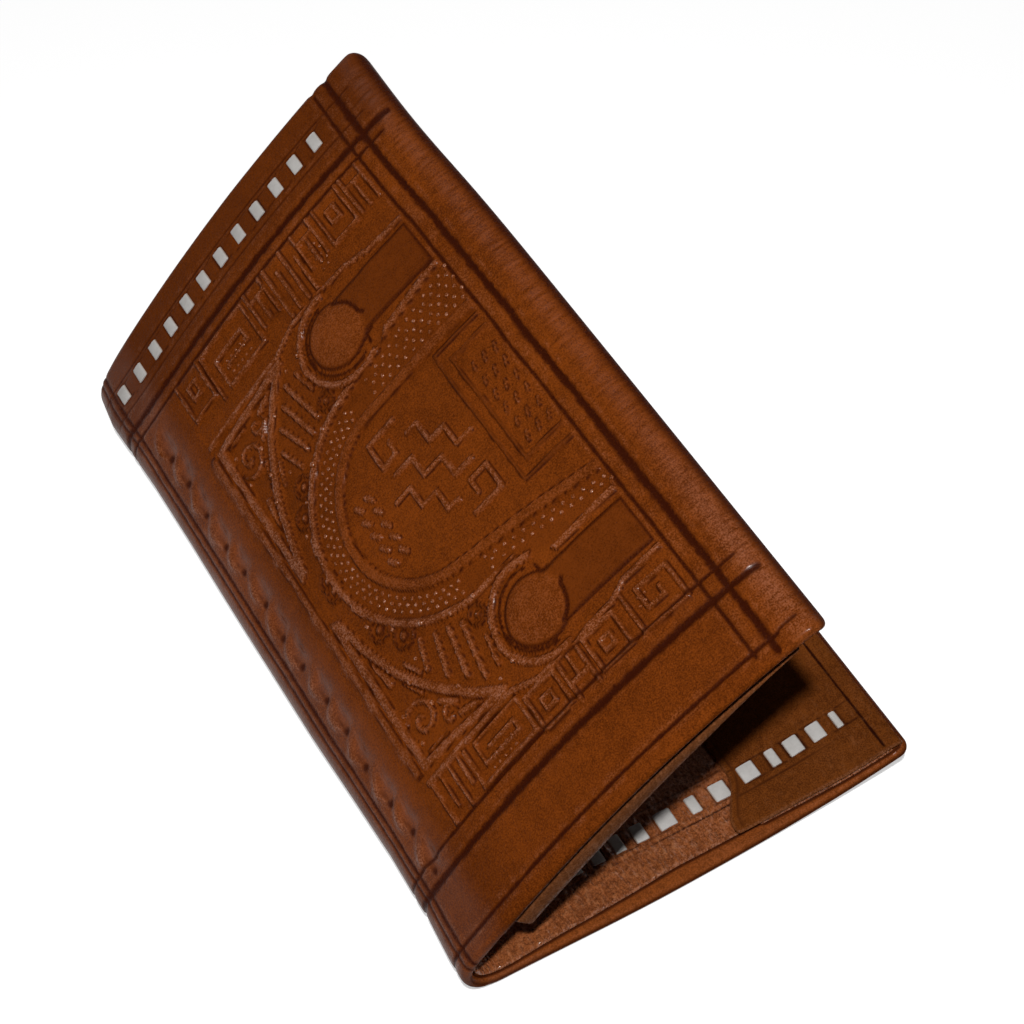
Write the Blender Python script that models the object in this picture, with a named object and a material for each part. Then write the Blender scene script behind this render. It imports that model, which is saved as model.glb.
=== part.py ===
# Folding leather wallet, standing half open as it is kept on a table.
#
# The wallet is worked out as a leather worker would cut it: every piece is a
# flat pattern, and the pattern is then bent round the spine. A point of a
# pattern has a girth (distance round the fold, 0 at the middle of the spine,
# minus on the back half and plus on the front half), a place along the spine
# (Y) and a depth below the grain side of the cover.
#
# The fold is a chain: back half, three narrow spine strips, front half. Each
# strip turns on an axis that lies in the grain side of the cover, along Y.

import math

import bmesh
import bpy

MM = 0.001

# Whole wallet
SPINE_LENGTH = 158.0 * MM       # along the fold
HALF_WIDTH = 88.8 * MM          # one half, from the end of the spine curve to its free edge
SPINE_RADIUS = 7.2 * MM         # grain side of the spine, as photographed
FOLD_TURN = math.radians(128.4)     # turn of the spine as photographed, 180 is shut
SPINE_STRIPS = 3                # moving strips between the two halves

# Set of the leather
BACK_FLAT = 46.0 * MM           # width of the back half that lies flat
BACK_CURL = math.radians(14.5)      # upward curl of the back half beyond that
FRONT_CURL_NEAR = math.radians(26.6)    # bow of the front half at the plain edge
FRONT_CURL_FAR = math.radians(15.3)     # bow of the front half at the laced edge

# Leather thicknesses and the room between layers
COVER_THICKNESS = 1.1 * MM
LINER_THICKNESS = 0.7 * MM
POCKET_THICKNESS = 0.8 * MM
CARD_SLEEVE_THICKNESS = 0.7 * MM    # each of the two
LIP_THICKNESS = 1.0 * MM
LAYER_GAP = 0.3 * MM

# Turned edges of the cover
PLAIN_HEM = 8.0 * MM            # cover turned in along the plain edge
LACED_HEM = 14.0 * MM           # cover turned in along the laced edge
LIP_WIDTH = 3.2 * MM            # cover turned over the pockets at the free edge
CORNER_RADIUS = 2.2 * MM
EDGE_ROUND = 0.5 * MM
LIP_ROUND = 0.35 * MM

# Inner layers
INNER_INSET = 2.2 * MM          # inner layers end short of the cover's edges
BACK_POCKET_MOUTH = 56.4 * MM   # mouth of the back pocket, from the spine curve
FRONT_POCKET_MOUTH = 5.6 * MM
CARD_SLEEVE_MOUTHS = [9.6 * MM, 17.4 * MM]
CARD_SLEEVE_LENGTHS = [98.0 * MM, 94.0 * MM]    # along the spine
CARD_SLEEVE_MARGIN = 6.4 * MM   # from the free edge

# White lace
LACE_THICKNESS = 0.5 * MM
LACE_WIDTH = 3.6 * MM
LACE_ROOM = 0.25 * MM           # clearance round the lace in its slits
LACE_SINK = 0.05 * MM           # outer stitches lie this far below the grain side
LACE_TAIL = 1.9 * MM            # hidden end beyond the last slit
COVER_LACE_FROM_EDGE = 9.2 * MM     # centre of the row from the laced edge
COVER_STITCH = 2.8 * MM
COVER_STITCH_PITCH = 6.2 * MM
COVER_STITCH_FIRST = 2.4 * MM   # middle of the first stitch from the spine curve
COVER_STITCHES = 12
LINER_LACE_FROM_EDGE = 12.2 * MM    # centre of the row from the plain edge
# Middle and length of each liner stitch in mm, uneven because they were cut by hand
LINER_STITCHES = [(21.6, 2.6), (26.4, 2.6), (31.1, 2.4), (35.8, 2.8), (41.5, 3.8), (47.7, 2.4),
                  (53.6, 3.6), (60.1, 3.8), (65.7, 2.2), (70.4, 3.4), (75.6, 3.2), (80.2, 1.6)]

# Fold joints
SHUT_MORE = math.radians(8.0)       # each joint can close this much further
STRIP_GAP = 0.3 * MM            # between strips at the grain side
STRIP_SPARE = math.radians(0.8)     # further taper of a strip's sides, so they never touch

# Facets
BEND_STEP = 11.0 * MM           # widest across a bowed half
ALONG_STEP = 35.0 * MM          # widest along the spine
LINE_SPACING = 0.4 * MM         # facet lines closer than this are one
TOUCH = 1e-7                    # two places this near are the same place

COVER_COLOUR = (0.33, 0.115, 0.026, 1.0)
LINER_COLOUR = (0.30, 0.105, 0.035, 1.0)
POCKET_COLOUR = (0.24, 0.085, 0.022, 1.0)
LACE_COLOUR = (0.78, 0.78, 0.76, 1.0)

HEM_DEPTH = 2 * COVER_THICKNESS
LINER_TOP = HEM_DEPTH + LAYER_GAP
LINER_UNDER = LINER_TOP + LINER_THICKNESS
POCKET_TOP = LINER_UNDER + LAYER_GAP
POCKET_UNDER = POCKET_TOP + POCKET_THICKNESS
CARD_TOPS = [POCKET_UNDER + LAYER_GAP + index * (CARD_SLEEVE_THICKNESS + LAYER_GAP)
             for index in range(len(CARD_SLEEVE_MOUTHS))]
LIP_TOP = POCKET_UNDER + LAYER_GAP
LIP_UNDER = LIP_TOP + LIP_THICKNESS

NEAR = -SPINE_LENGTH / 2
FAR = SPINE_LENGTH / 2
SPINE_HALF = SPINE_RADIUS * FOLD_TURN / 2
JOINT_COUNT = SPINE_STRIPS + 1
JOINT_PITCH = 2 * SPINE_HALF / JOINT_COUNT
JOINT_GIRTHS = [-SPINE_HALF + (index + 0.5) * JOINT_PITCH for index in range(JOINT_COUNT)]
BACK, FRONT = -1, 1


# A point at this reach and depth on a piece that curves inwards by turn over length
def bowed(reach, depth, length, turn):
    if abs(turn) < 1e-6 or reach <= 0:
        return reach, depth
    radius = length / turn
    angle = reach / radius
    across = (radius - depth) * math.sin(angle)
    inward = radius - (radius - depth) * math.cos(angle)
    return across, inward


# Where the spine curve stands, so that the wallet's box is centred on the origin
def spine_centre_x():
    curl_reach = HALF_WIDTH - BACK_FLAT
    curled, _ = bowed(curl_reach, 0.0, curl_reach, BACK_CURL)
    return (SPINE_RADIUS - BACK_FLAT - curled) / 2


SPINE_X = spine_centre_x()


# Bends a pattern point into the photographed pose
def bend(girth, along, depth):
    if abs(girth) <= SPINE_HALF:
        angle = (girth + SPINE_HALF) / SPINE_RADIUS
        arm = SPINE_RADIUS - depth
        return SPINE_X - arm * math.sin(angle), along, SPINE_RADIUS - arm * math.cos(angle)
    reach = abs(girth) - SPINE_HALF
    if girth < 0:
        flat = min(reach, BACK_FLAT)
        across, up = bowed(reach - BACK_FLAT, depth, HALF_WIDTH - BACK_FLAT, BACK_CURL)
        if reach <= BACK_FLAT:
            across, up = 0.0, depth
        return SPINE_X + flat + across, along, up
    share = (along - NEAR) / SPINE_LENGTH
    curl = FRONT_CURL_NEAR + (FRONT_CURL_FAR - FRONT_CURL_NEAR) * share
    across, inward = bowed(reach, depth, HALF_WIDTH, curl)
    angle = math.pi - FOLD_TURN
    start_x = SPINE_X - SPINE_RADIUS * math.sin(FOLD_TURN)
    start_z = SPINE_RADIUS - SPINE_RADIUS * math.cos(FOLD_TURN)
    x = start_x + across * math.cos(angle) + inward * math.sin(angle)
    z = start_z + across * math.sin(angle) - inward * math.cos(angle)
    return x, along, z


# Girth of the side of a strip that faces a joint, set back further the deeper it
# lies, so that the inner corners stay apart when the wallet shuts
def joint_side(joint, side, depth):
    wedge = SHUT_MORE / 2 + STRIP_SPARE
    back_off = STRIP_GAP / 2 + depth * math.tan(wedge)
    return JOINT_GIRTHS[joint] + side * back_off * SPINE_RADIUS / (SPINE_RADIUS - depth)


def even_lines(start, end, widest):
    steps = max(1, math.ceil((end - start) / widest - 1e-9))
    return [start + (end - start) * step / steps for step in range(steps + 1)]


# A closed solid made of the filled cells of a grid in pattern coordinates
def solid_from_cells(reach_lines, along_lines, depth_lines, is_filled):
    body = bmesh.new()
    corners = {}

    def corner(i, j, k):
        if (i, j, k) not in corners:
            corners[i, j, k] = body.verts.new((reach_lines[i], along_lines[j], depth_lines[k]))
        return corners[i, j, k]

    def filled(i, j, k):
        inside = 0 <= i < len(reach_lines) - 1 and 0 <= j < len(along_lines) - 1
        if not inside or not 0 <= k < len(depth_lines) - 1:
            return False
        middle = [(lines[n] + lines[n + 1]) / 2
                  for lines, n in ((reach_lines, i), (along_lines, j), (depth_lines, k))]
        return is_filled(*middle)

    for i in range(len(reach_lines) - 1):
        for j in range(len(along_lines) - 1):
            for k in range(len(depth_lines) - 1):
                if not filled(i, j, k):
                    continue
                for axis in range(3):
                    for step in (0, 1):
                        neighbour = [i, j, k]
                        neighbour[axis] += 2 * step - 1
                        if filled(*neighbour):
                            continue
                        others = [other for other in range(3) if other != axis]
                        ring = []
                        for first, second in ((0, 0), (1, 0), (1, 1), (0, 1)):
                            at = [i, j, k]
                            at[axis] += step
                            at[others[0]] += first
                            at[others[1]] += second
                            ring.append(corner(*at))
                        body.faces.new(ring)
    bmesh.ops.recalc_face_normals(body, faces=body.faces)
    return body


def make_object(name, body, material):
    mesh = bpy.data.meshes.new(name)
    body.to_mesh(mesh)
    body.free()
    piece = bpy.data.objects.new(name, mesh)
    bpy.context.scene.collection.objects.link(piece)
    if material:
        mesh.materials.append(material)
    return piece


# Cuts the slits of a flat pattern, then bends it. Half is BACK or FRONT, and
# joint, where given, is the fold joint that the inner end of the piece faces
def finish_piece(name, body, material, half, slits=(), joint=None, far_joint=None):
    piece = make_object(name, body, material)
    cutters = None
    if slits:
        cut = bmesh.new()
        for reach_lines, along_lines, depth_lines, is_filled in slits:
            part = solid_from_cells(reach_lines, along_lines, depth_lines, is_filled)
            scrap = bpy.data.meshes.new("slit")
            part.to_mesh(scrap)
            part.free()
            cut.from_mesh(scrap)
            bpy.data.meshes.remove(scrap)
        cutters = make_object(name + "_slits", cut, None)
        cutters.hide_render = True
        cutters.display_type = "WIRE"
        boolean = piece.modifiers.new("Slits", "BOOLEAN")
        boolean.operation = "DIFFERENCE"
        boolean.solver = "EXACT"
        boolean.object = cutters
    bpy.context.view_layer.update()
    graph = bpy.context.evaluated_depsgraph_get()
    flat = bpy.data.meshes.new_from_object(piece.evaluated_get(graph))
    piece.modifiers.clear()
    if cutters:
        bpy.data.objects.remove(cutters)
    for vertex in flat.vertices:
        reach, along, depth = vertex.co
        girth = half * (SPINE_HALF + reach)
        if joint is not None:
            limit = joint_side(joint, half, depth)
            if half * girth < half * limit + TOUCH:
                girth = limit
        if far_joint is not None:
            limit = joint_side(far_joint, -half, depth)
            if half * girth > half * limit - TOUCH:
                girth = limit
        vertex.co = bend(girth, along, depth)
    bent = bmesh.new()
    bent.from_mesh(flat)
    bmesh.ops.recalc_face_normals(bent, faces=bent.faces)
    bent.to_mesh(flat)
    bent.free()
    piece.data = flat
    flat.name = name
    return piece


# Lines across one half, from its end of the spine chain to a given reach
def half_lines(end):
    start = -JOINT_PITCH / 2
    lines = even_lines(0.0, end, BEND_STEP) + [start, start / 2, BACK_FLAT]
    kept = []
    for line in sorted(lines):
        if not kept or line - kept[-1] > LINE_SPACING:
            kept.append(line)
    return kept


# Depth of the inner face that lace lies on at this reach
def inner_face(half, reach, near_row):
    if half == BACK:
        return POCKET_UNDER if reach > BACK_POCKET_MOUTH else LINER_UNDER
    if near_row:
        for top, mouth in reversed(list(zip(CARD_TOPS, CARD_SLEEVE_MOUTHS))):
            if reach > mouth:
                return top + CARD_SLEEVE_THICKNESS
    return POCKET_UNDER if reach > FRONT_POCKET_MOUTH else LINER_UNDER


# Where the inner face steps up along the cover's row of lace
def pocket_mouth(half):
    return BACK_POCKET_MOUTH if half == BACK else FRONT_POCKET_MOUTH


# Starts and ends, as reaches, of the stitches that have room before the lip
def stitch_ends(middles_and_lengths):
    room = HALF_WIDTH - LIP_WIDTH - LACE_TAIL - LACE_THICKNESS
    stitches = []
    for middle, length in middles_and_lengths:
        half_run = (length - LACE_THICKNESS) / 2
        if middle + half_run < room:
            stitches.append((middle - half_run, middle + half_run))
    return stitches


def cover_stitches():
    return stitch_ends([(COVER_STITCH_FIRST + index * COVER_STITCH_PITCH, COVER_STITCH)
                        for index in range(COVER_STITCHES)])


def liner_stitches():
    return stitch_ends([(middle * MM, length * MM) for middle, length in LINER_STITCHES])


def lace_on_face(half, reach, near_row):
    return inner_face(half, reach, near_row) + LACE_ROOM + LACE_THICKNESS / 2


# Middle line of a woven lace as (reach, depth) points, always square turns
def cover_lace_route(half):
    shown = LACE_SINK + LACE_THICKNESS / 2
    stitches = cover_stitches()
    route = [(stitches[0][0] - LACE_TAIL, lace_on_face(half, 0.0, False))]
    for index, (start, end) in enumerate(stitches):
        route += [(start, lace_on_face(half, start, False)), (start, shown)]
        route += [(end, shown), (end, lace_on_face(half, end, False))]
        following = stitches[index + 1][0] if index + 1 < len(stitches) else end
        if end < pocket_mouth(half) < following:
            before = pocket_mouth(half) - LACE_ROOM - LACE_THICKNESS / 2
            route += [(before, lace_on_face(half, end, False)),
                      (before, lace_on_face(half, following, False))]
    route.append((stitches[-1][1] + LACE_TAIL, route[-1][1]))
    return route


def liner_lace_route(half):
    hidden = LINER_TOP - LACE_ROOM - LACE_THICKNESS / 2
    stitches = liner_stitches()
    route = [(stitches[0][0] - LACE_TAIL, hidden)]
    for start, end in stitches:
        shown = lace_on_face(half, (start + end) / 2, True)
        route += [(start, hidden), (start, shown), (end, shown), (end, hidden)]
    route.append((stitches[-1][1] + LACE_TAIL, hidden))
    return route


# A flat strip that follows a route of square turns
def lace_body(route, along_middle):
    sides = ([], [])
    for index, (reach, depth) in enumerate(route):
        before = route[max(index - 1, 0)]
        after = route[min(index + 1, len(route) - 1)]
        offset = [0.0, 0.0]
        for start, end in ((before, (reach, depth)), ((reach, depth), after)):
            run = (end[0] - start[0], end[1] - start[1])
            size = math.hypot(*run)
            if size > 1e-9:
                normal = (-run[1] / size, run[0] / size)
                offset = [old if abs(new) < 1e-6 else new for old, new in zip(offset, normal)]
        for side, sign in zip(sides, (0.5, -0.5)):
            side.append((reach + sign * LACE_THICKNESS * offset[0],
                         depth + sign * LACE_THICKNESS * offset[1]))
    body = bmesh.new()
    rows = []
    for along in (along_middle - LACE_WIDTH / 2, along_middle + LACE_WIDTH / 2):
        rows.append([[body.verts.new((reach, along, depth)) for reach, depth in side]
                     for side in sides])
    (left_low, right_low), (left_high, right_high) = rows
    last = len(route) - 1
    for index in range(last):
        body.faces.new((left_low[index], left_low[index + 1], left_high[index + 1], left_high[index]))
        body.faces.new((right_low[index], right_high[index], right_high[index + 1],
                        right_low[index + 1]))
        body.faces.new((left_low[index], right_low[index], right_low[index + 1],
                        left_low[index + 1]))
        body.faces.new((left_high[index], left_high[index + 1], right_high[index + 1],
                        right_high[index]))
    for index in (0, last):
        body.faces.new((left_low[index], left_high[index], right_high[index], right_low[index]))
    bmesh.ops.recalc_face_normals(body, faces=body.faces)
    return body


# One slit through every layer at each end of a stitch. Where sink is given, the
# leather between them is pressed down to that depth, so that the lace lies in it
def slits_for(stitches, along_middle, sink=None):
    cuts = []
    half_slit = LACE_THICKNESS / 2 + LACE_ROOM
    half_row = LACE_WIDTH / 2 + LACE_ROOM
    along_lines = [along_middle - half_row, along_middle + half_row]
    through = [-LIP_UNDER, sink if sink else 0.0, 2 * LIP_UNDER]

    def pressed(reach_from, reach_to):
        return lambda reach, along, depth: depth < sink or not reach_from < reach < reach_to

    for start, end in stitches:
        lines = [start - half_slit, start + half_slit, end - half_slit, end + half_slit]
        if sink:
            cuts.append((lines, along_lines, through, pressed(lines[1], lines[2])))
            continue
        for pair in (lines[:2], lines[2:]):
            cuts.append((pair, along_lines, [through[0], through[2]], lambda *place: True))
    return cuts


COVER_ROW = FAR - COVER_LACE_FROM_EDGE
LINER_ROW = NEAR + LINER_LACE_FROM_EDGE
PRESSED_DEPTH = LACE_SINK + LACE_THICKNESS + LACE_ROOM


# Cover of one half: the sheet, its turned-in hems and the lip at the free edge
def make_cover(name, half, joint, material):
    wall = HALF_WIDTH - COVER_THICKNESS
    lip = HALF_WIDTH - LIP_WIDTH
    reach_lines = half_lines(lip - MM)
    reach_lines += [lip, HALF_WIDTH - CORNER_RADIUS, wall, HALF_WIDTH]
    along_lines = [NEAR, NEAR + CORNER_RADIUS, NEAR + PLAIN_HEM]
    along_lines += even_lines(NEAR + PLAIN_HEM, FAR - LACED_HEM, ALONG_STEP)[1:-1]
    along_lines += [FAR - LACED_HEM, FAR - CORNER_RADIUS, FAR]
    depth_lines = [0.0, COVER_THICKNESS, HEM_DEPTH, LIP_TOP, LIP_UNDER]

    def is_leather(reach, along, depth):
        if depth < COVER_THICKNESS or reach > wall:
            return True
        if depth < HEM_DEPTH:
            return along < NEAR + PLAIN_HEM or along > FAR - LACED_HEM
        return depth > LIP_TOP and reach > lip

    body = solid_from_cells(reach_lines, along_lines, depth_lines, is_leather)
    round_cover(body)
    slits = slits_for(cover_stitches(), COVER_ROW, PRESSED_DEPTH)
    return finish_piece(name, body, material, half, slits, joint)


# Rounds the corners in plan and rolls the outer edges of a cover
def round_cover(body):
    pull = CORNER_RADIUS * (1 - math.sqrt(0.5))
    for vertex in body.verts:
        reach, along, depth = vertex.co
        if reach > HALF_WIDTH - TOUCH and abs(along) > FAR - TOUCH:
            vertex.co.x -= pull
            vertex.co.y -= math.copysign(pull, along)

    def on_outline(vertex):
        return (vertex.co.x > HALF_WIDTH - pull - TOUCH
                or abs(vertex.co.y) > FAR - pull - TOUCH)

    for depth, width in ((0.0, EDGE_ROUND), (LIP_UNDER, EDGE_ROUND), (HEM_DEPTH, LIP_ROUND)):
        edges = []
        for edge in body.edges:
            ends = edge.verts
            if any(abs(end.co.z - depth) > TOUCH or not on_outline(end) for end in ends):
                continue
            if edge.is_convex and edge.calc_face_angle(0.0) > math.radians(45):
                edges.append(edge)
        bmesh.ops.bevel(body, geom=edges, offset=width, segments=2, profile=0.5,
                        affect="EDGES", clamp_overlap=True)


# Inner layer of one half between two depths, from a mouth out to the free edge
def make_layer(name, half, material, top, under, mouth, rows, joint=None,
               margin=None, along_end=None):
    end = HALF_WIDTH - (margin if margin else COVER_THICKNESS + LAYER_GAP)
    near, far = NEAR + INNER_INSET, along_end if along_end else FAR - INNER_INSET
    reach_lines = half_lines(end) if mouth is None else [
        line for line in half_lines(end) if line > mouth + MM]
    if mouth is not None:
        reach_lines.insert(0, mouth)
    along_lines = even_lines(near, far, ALONG_STEP)
    body = solid_from_cells(reach_lines, along_lines, [top, under], lambda *place: True)
    slits = []
    for stitches, row in rows:
        first = mouth if mouth is not None else -SPINE_HALF
        shown = [stitch for stitch in stitches if stitch[0] > first]
        slits += slits_for(shown, row)
    return finish_piece(name, body, material, half, slits, joint)


# One strip of the spine between two depths, between two fold joints
def make_spine_strip(name, index, material, top, under, hem_depth, inset):
    near, far = NEAR + inset, FAR - inset
    start = JOINT_GIRTHS[index] - SPINE_HALF
    reach_lines = even_lines(start, JOINT_GIRTHS[index + 1] - SPINE_HALF, JOINT_PITCH / 3)
    along_lines = [near, far]
    depth_lines = [top, under]
    if hem_depth:
        along_lines = [near, NEAR + PLAIN_HEM, FAR - LACED_HEM, far]
        depth_lines = [top, under, hem_depth]

    def is_leather(reach, along, depth):
        return depth < under or along < NEAR + PLAIN_HEM or along > FAR - LACED_HEM

    body = solid_from_cells(reach_lines, along_lines, depth_lines, is_leather)
    return finish_piece(name, body, material, FRONT, (), index, index + 1)


def make_lace(name, half, route, row, material):
    return finish_piece(name, lace_body(route, row), material, half)


def leather(name, colour, roughness):
    material = bpy.data.materials.new(name)
    material.use_nodes = True
    shader = material.node_tree.nodes["Principled BSDF"]
    shader.inputs["Base Color"].default_value = colour
    shader.inputs["Roughness"].default_value = roughness
    shader.inputs["Metallic"].default_value = 0.0
    return material


def build():
    for old in list(bpy.data.objects):
        bpy.data.objects.remove(old)
    cover_leather = leather("cover_leather", COVER_COLOUR, 0.42)
    liner_leather = leather("liner_leather", LINER_COLOUR, 0.35)
    pocket_leather = leather("pocket_leather", POCKET_COLOUR, 0.55)
    lace = leather("lace", LACE_COLOUR, 0.7)
    cover_row = (cover_stitches(), COVER_ROW)
    liner_row = (liner_stitches(), LINER_ROW)

    make_cover("back_cover", BACK, 0, cover_leather)
    make_layer("back_liner", BACK, liner_leather, LINER_TOP, LINER_UNDER, None,
               [cover_row, liner_row], 0)
    make_layer("back_pocket", BACK, pocket_leather, POCKET_TOP, POCKET_UNDER,
               BACK_POCKET_MOUTH, [cover_row, liner_row])
    make_lace("back_cover_lace", BACK, cover_lace_route(BACK), COVER_ROW, lace)
    make_lace("back_liner_lace", BACK, liner_lace_route(BACK), LINER_ROW, lace)

    for index in range(SPINE_STRIPS):
        make_spine_strip("spine_cover_%d" % (index + 1), index, cover_leather,
                         0.0, COVER_THICKNESS, HEM_DEPTH, 0.0)
        make_spine_strip("spine_liner_%d" % (index + 1), index, liner_leather,
                         LINER_TOP, LINER_UNDER, None, INNER_INSET)

    make_cover("front_cover", FRONT, SPINE_STRIPS, cover_leather)
    make_layer("front_liner", FRONT, liner_leather, LINER_TOP, LINER_UNDER, None,
               [cover_row, liner_row], SPINE_STRIPS)
    make_layer("front_pocket", FRONT, pocket_leather, POCKET_TOP, POCKET_UNDER,
               FRONT_POCKET_MOUTH, [cover_row, liner_row])
    for index, (top, mouth) in enumerate(zip(CARD_TOPS, CARD_SLEEVE_MOUTHS)):
        make_layer("front_card_sleeve_%d" % (index + 1), FRONT, pocket_leather, top,
                   top + CARD_SLEEVE_THICKNESS, mouth, [liner_row],
                   margin=CARD_SLEEVE_MARGIN,
                   along_end=NEAR + INNER_INSET + CARD_SLEEVE_LENGTHS[index])
    make_lace("front_cover_lace", FRONT, cover_lace_route(FRONT), COVER_ROW, lace)
    make_lace("front_liner_lace", FRONT, liner_lace_route(FRONT), LINER_ROW, lace)


build()
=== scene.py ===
import math

import bmesh
import bpy
import numpy as np
from mathutils import Matrix, Vector


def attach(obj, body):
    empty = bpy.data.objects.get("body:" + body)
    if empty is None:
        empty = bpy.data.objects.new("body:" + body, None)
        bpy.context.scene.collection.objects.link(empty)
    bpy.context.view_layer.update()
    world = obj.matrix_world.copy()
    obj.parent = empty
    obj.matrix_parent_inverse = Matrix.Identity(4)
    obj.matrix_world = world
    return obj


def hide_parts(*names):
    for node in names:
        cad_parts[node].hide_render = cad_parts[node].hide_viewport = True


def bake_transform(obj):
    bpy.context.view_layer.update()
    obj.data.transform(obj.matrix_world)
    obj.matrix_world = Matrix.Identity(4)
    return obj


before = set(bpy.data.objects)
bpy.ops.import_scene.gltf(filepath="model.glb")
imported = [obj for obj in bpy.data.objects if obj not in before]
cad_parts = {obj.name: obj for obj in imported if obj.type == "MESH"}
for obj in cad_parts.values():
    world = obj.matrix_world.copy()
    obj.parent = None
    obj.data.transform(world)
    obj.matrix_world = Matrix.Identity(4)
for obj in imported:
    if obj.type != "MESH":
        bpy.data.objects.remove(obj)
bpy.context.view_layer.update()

mm = 0.001
tiny = 1e-12      # keeps a division by a zero length safe
sameLine = 1e-6   # grid lines nearer than this are one

# Folding wallet of tooled saddle leather. Sizes are in mm and degrees, and the flat
# pattern is the one the solids were bent from: girth round the fold (0 at the middle
# of the spine, plus on the front), along the spine, and depth below the grain side.
wallet = {
    "spineLength": 158.0,
    "halfWidth": 88.8,
    "spineRadius": 7.2,
    "foldTurn": math.radians(128.4),
    "backFlat": 46.0,
    "backCurl": math.radians(14.5),
    "frontCurlNear": math.radians(26.6),
    "frontCurlFar": math.radians(15.3),
    "strips": 3,
    "coverThickness": 1.1,
    "linerThickness": 0.7,
    "pocketThickness": 0.8,
    "sleeveThickness": 0.7,
    "lipThickness": 1.0,
    "layerGap": 0.3,
    "plainHem": 8.0,
    "lacedHem": 14.0,
    "lipWidth": 3.2,
    "innerInset": 2.2,
    "backPocketMouth": 56.4,
    "frontPocketMouth": 5.6,
    "sleeveMouths": [9.6, 17.4],
    "sleeveLengths": [98.0, 94.0],
    "sleeveMargin": 6.4,
}
length = wallet["spineLength"]
halfWidth = wallet["halfWidth"]
near = -length / 2
far = length / 2
spineHalf = wallet["spineRadius"] * wallet["foldTurn"] / 2
jointPitch = 2 * spineHalf / (wallet["strips"] + 1)
hemDepth = 2 * wallet["coverThickness"]
linerTop = hemDepth + wallet["layerGap"]
linerUnder = linerTop + wallet["linerThickness"]
pocketTop = linerUnder + wallet["layerGap"]
pocketUnder = pocketTop + wallet["pocketThickness"]
sleeveTops = [pocketUnder + wallet["layerGap"] + index * (wallet["sleeveThickness"] + wallet["layerGap"])
              for index in range(2)]
lipUnder = pocketUnder + wallet["layerGap"] + wallet["lipThickness"]


def bowed(reach, depth, span, turn):
    radius = span / turn
    angle = reach / radius
    return (radius - depth) * np.sin(angle), radius - (radius - depth) * np.cos(angle)


curlReach = halfWidth - wallet["backFlat"]
fullCurl = bowed(curlReach, 0, curlReach, wallet["backCurl"])[0]
spineX = (wallet["spineRadius"] - wallet["backFlat"] - fullCurl) / 2


# Rises smoothly from 0 to 1 between start and end
def rise(value, start, end):
    t = np.clip((value - start) / (end - start), 0, 1)
    return t * t * (3 - 2 * t)


def hump(value, middle, width):
    return np.exp(-((value - middle) / width) ** 2)


# Small unevenness of the handmade shell, in mm: how far the spine bulges along its
# length and how far the edges are pulled in, with the places where each one acts
slack = {
    "spineAt": [0, 6, 14, 30, 44, 60, 90, 130, 140, 149, 158],
    "spineOut": [0.6, 0.5, -0.1, -0.45, -0.1, 0.3, 0.35, 0.3, 0.7, 1.1, 0.1],
    "spineGirth": (3, 9), "spineFrom": (-8, -2),
    "freePull": 0.8, "freeRows": (138, 20), "freeReach": (50, 86),
    "notch": 0.3, "notches": [(76, 0.7), (79.7, 0.9)], "notchRows": (155, 158),
    "belly": 0.55, "bellyReach": (30, 22), "bellyRows": (-14, 0),
    "farPull": 1.0, "farGirth": (3, 7), "farRows": (146, 158),
}


def loosen(girth, along, depth):
    s, v = np.abs(girth) - spineHalf, along - near
    front, back = girth > 0, girth < 0
    pull = slack["freePull"] * hump(v, *slack["freeRows"]) * rise(s, *slack["freeReach"]) * front
    notched = sum(hump(s, middle, width) for middle, width in slack["notches"])
    notch = slack["notch"] * notched * rise(v, *slack["notchRows"]) * front
    belly = slack["belly"] * hump(s, *slack["bellyReach"]) * rise(-v, *slack["bellyRows"]) * back
    corner = slack["farPull"] * hump(girth, *slack["farGirth"]) * rise(v, *slack["farRows"])
    bulge = np.interp(v, slack["spineAt"], slack["spineOut"])
    out = bulge * hump(girth, *slack["spineGirth"]) * rise(girth, *slack["spineFrom"])
    return girth - pull, along - notch - belly - corner, depth - out


# Bends flat pattern points into the photographed pose, all in mm
def bend(girth, along, depth):
    girth, along, depth = np.broadcast_arrays(girth * 1.0, along * 1.0, depth * 1.0)
    girth, along, depth = loosen(girth, along, depth)
    radius, turn = wallet["spineRadius"], wallet["foldTurn"]
    angle = (girth + spineHalf) / radius
    arm = radius - depth
    onSpine = np.stack([spineX - arm * np.sin(angle), along, radius - arm * np.cos(angle)], -1)
    reach = np.abs(girth) - spineHalf
    curled = np.maximum(reach - wallet["backFlat"], 0)
    across, up = bowed(curled, depth, curlReach, wallet["backCurl"])
    onBack = np.stack([spineX + np.minimum(reach, wallet["backFlat"]) + across, along, up], -1)
    share = (along - near) / length
    curl = wallet["frontCurlNear"] + (wallet["frontCurlFar"] - wallet["frontCurlNear"]) * share
    across, inward = bowed(np.maximum(reach, 0), depth, halfWidth, curl)
    lean = math.pi - turn
    x = spineX - radius * math.sin(turn) + across * math.cos(lean) + inward * math.sin(lean)
    z = radius - radius * math.cos(turn) + across * math.sin(lean) - inward * math.cos(lean)
    onFront = np.stack([x, along, z], -1)
    halves = np.where((girth < 0)[..., None], onBack, onFront)
    return np.where((np.abs(girth) <= spineHalf)[..., None], onSpine, halves)


def bendPoint(girth, along=0.0, depth=0.0):
    return tuple(bend(np.array(girth), np.array(along), np.array(depth)) * mm)


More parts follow.
